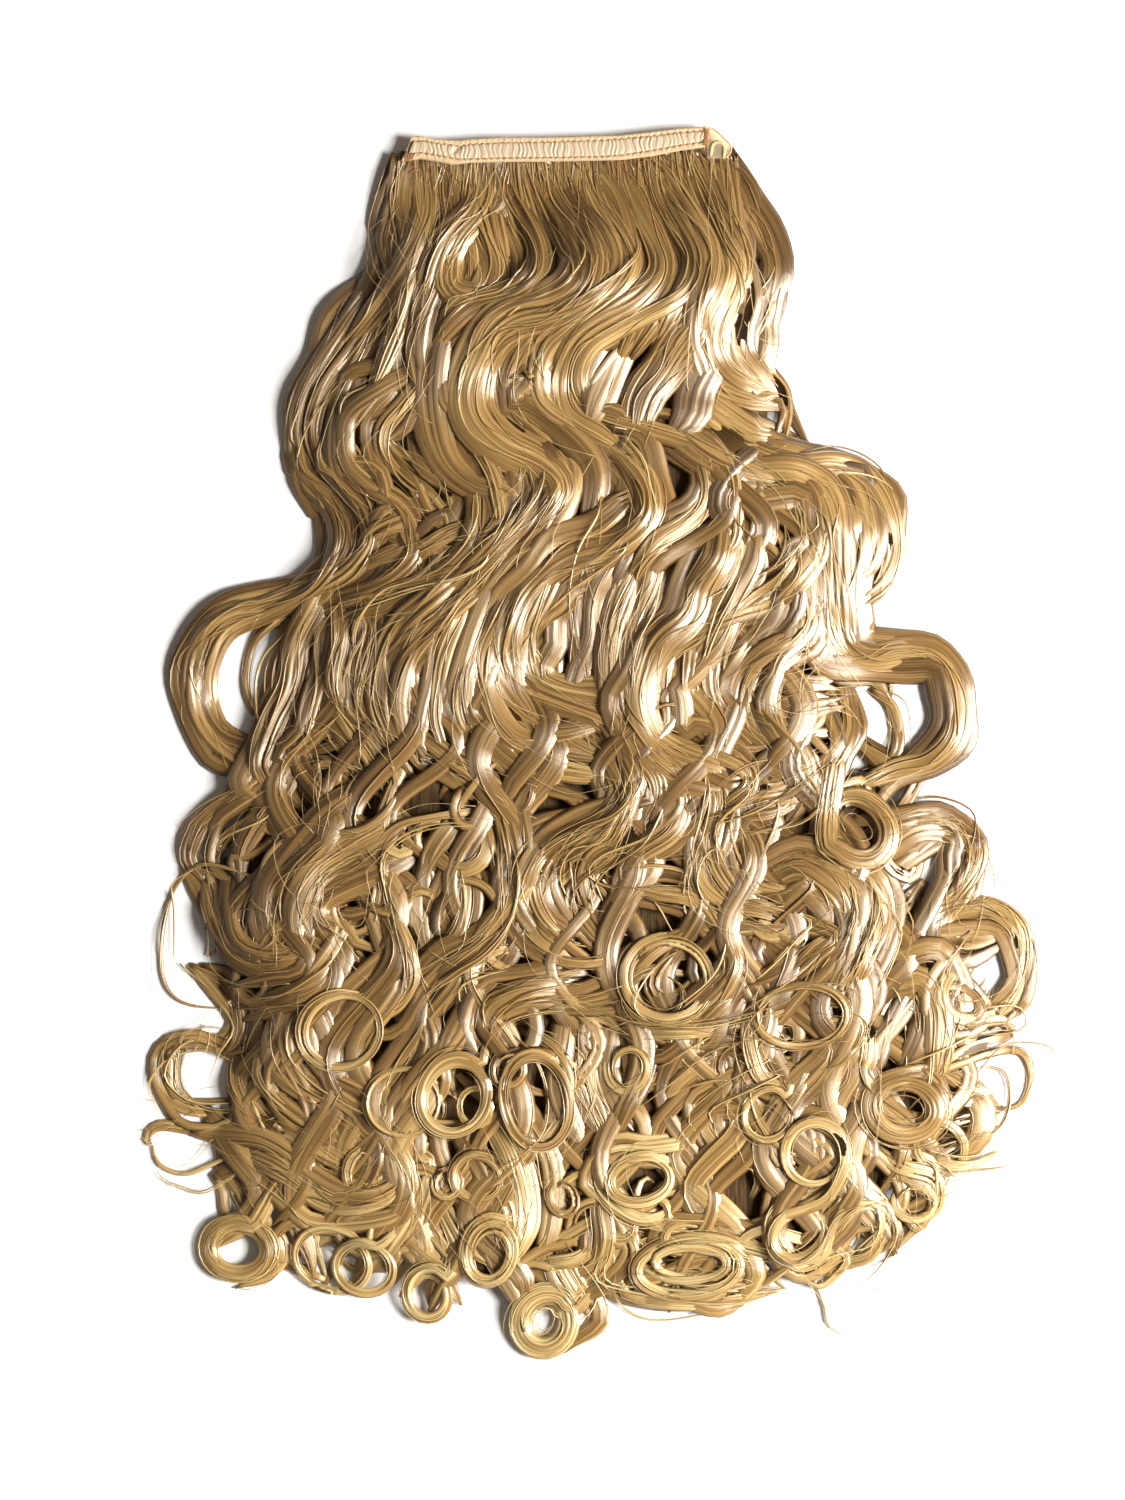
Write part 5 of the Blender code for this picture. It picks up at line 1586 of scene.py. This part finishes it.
def clothMaterial(name, colour, shade, weave, bump, rough, sheen):
    material, tree, shader = newMaterial(name)
    spot = addNode(tree, "ShaderNodeTexCoord").outputs["Object"]
    weaves = []
    for direction in ("X", "Y"):
        wave = addNode(tree, "ShaderNodeTexWave", bands_direction=direction)
        wave.inputs["Scale"].default_value = weave
        wave.inputs["Distortion"].default_value = clothLook["distortion"]
        wave.inputs["Detail"].default_value = clothLook["waveDetail"]
        tree.links.new(spot, wave.inputs["Vector"])
        weaves.append(wave.outputs["Fac"])
    threads = mathNode(tree, "MULTIPLY", *weaves)
    fleck = noiseNode(tree, spot, clothLook["fleck"], clothLook["fleckDetail"])
    share = mathNode(tree, "ADD", mathNode(tree, "MULTIPLY", threads, clothLook["threads"]),
                     mathNode(tree, "MULTIPLY", fleck, clothLook["flecks"]), clamp=True)
    mixColours(tree, shader, share, shade, colour)
    uneven = mathNode(tree, "MULTIPLY", fleck, clothLook["roughSpread"])
    tree.links.new(mathNode(tree, "ADD", rough, uneven), shader.inputs["Roughness"])
    shader.inputs["Sheen Weight"].default_value = sheen
    addBump(tree, shader, threads, bump, clothLook["bumpDistance"])
    return material


def threadMaterial(name, colour, shade):
    material, tree, shader = newMaterial(name)
    spot = addNode(tree, "ShaderNodeTexCoord")
    twist = addNode(tree, "ShaderNodeTexWave", bands_direction="DIAGONAL")
    twist.inputs["Scale"].default_value = threadLook["twist"]
    tree.links.new(spot.outputs["Object"], twist.inputs["Vector"])
    mixColours(tree, shader, twist.outputs["Fac"], shade, colour)
    shader.inputs["Roughness"].default_value = threadLook["roughness"]
    addBump(tree, shader, twist.outputs["Fac"], threadLook["bump"], threadLook["bumpDistance"])
    return material


tape = makeTape()
tape.data.materials.append(clothMaterial("foldedTape", colour=(0.62, 0.44, 0.26),
                                         shade=(0.48, 0.33, 0.18), weave=620, bump=0.35,
                                         rough=0.70, sheen=0.10))
panel = makePanel()
panel.data.materials.append(clothMaterial("satinStrip", colour=(0.54, 0.42, 0.28),
                                          shade=(0.44, 0.34, 0.22), weave=900, bump=0.15,
                                          rough=0.42, sheen=0.05))
makeStitches(threadMaterial("stitchThread", (0.46, 0.25, 0.10), (0.30, 0.15, 0.055)))
makeTacks(threadMaterial("tackThread", (0.42, 0.20, 0.07), (0.26, 0.11, 0.035)))

tab = dict(edge=[(703, 128), (714, 131), (723, 139), (731, 148), (728, 157), (721, 160)],
           fold=[(710, 158), (712, 147), (716, 144), (721, 145), (724, 150), (723, 159)],
           high=0.0056, half=0.00035, foldHalf=0.0009, thick=0.00028, edgeRise=0.0003,
           foldRise=0.0006, step=0.0007)


def makeTabEdge(material):
    # the rolled rim of the clear tab and the fold that shows amber through it
    bundle = newBundle("tabEdge", 6)
    for path, half, high in ((tab["edge"], tab["half"], tab["high"] + tab["edgeRise"]),
                             (tab["fold"], tab["foldHalf"], tab["high"] + tab["foldRise"])):
        line = smoothPath([(*place(*point), high) for point in path], tab["step"])
        k = np.arange(len(line))
        thin = np.clip(np.minimum(k, k[::-1]) / 3 + 0.4, 0, 1)
        addStrand(bundle, line, half * thin, np.full(len(line), tab["thick"]), 0.5, 0.0)
    finishBundle(bundle, material)


# Finishes of the solids that stay as they come
kept = [
    dict(node="end_tab", name="clearElastic", scale=220, first=(0.86, 0.70, 0.44),
         second=(0.95, 0.87, 0.70),
         sockets={"Roughness": 0.32, "Transmission Weight": 0.80, "IOR": 1.25}),
    dict(node="snap_clip", name="clipEnamel", scale=500, first=(0.06, 0.04, 0.03),
         second=(0.12, 0.085, 0.06), sockets={"Roughness": 0.35}),
]


def finishKept(row):
    material, tree, shader = newMaterial(row["name"])
    spot = addNode(tree, "ShaderNodeTexCoord")
    mixColours(tree, shader, noiseNode(tree, spot.outputs["Object"], row["scale"]),
               row["first"], row["second"])
    for socket, value in row["sockets"].items():
        shader.inputs[socket].default_value = value
    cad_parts[row["node"]].material_slots[0].material = material


for row in kept:
    finishKept(row)
makeTabEdge(threadMaterial("amberRim", (0.66, 0.46, 0.22), (0.55, 0.35, 0.14)))
print("band made")
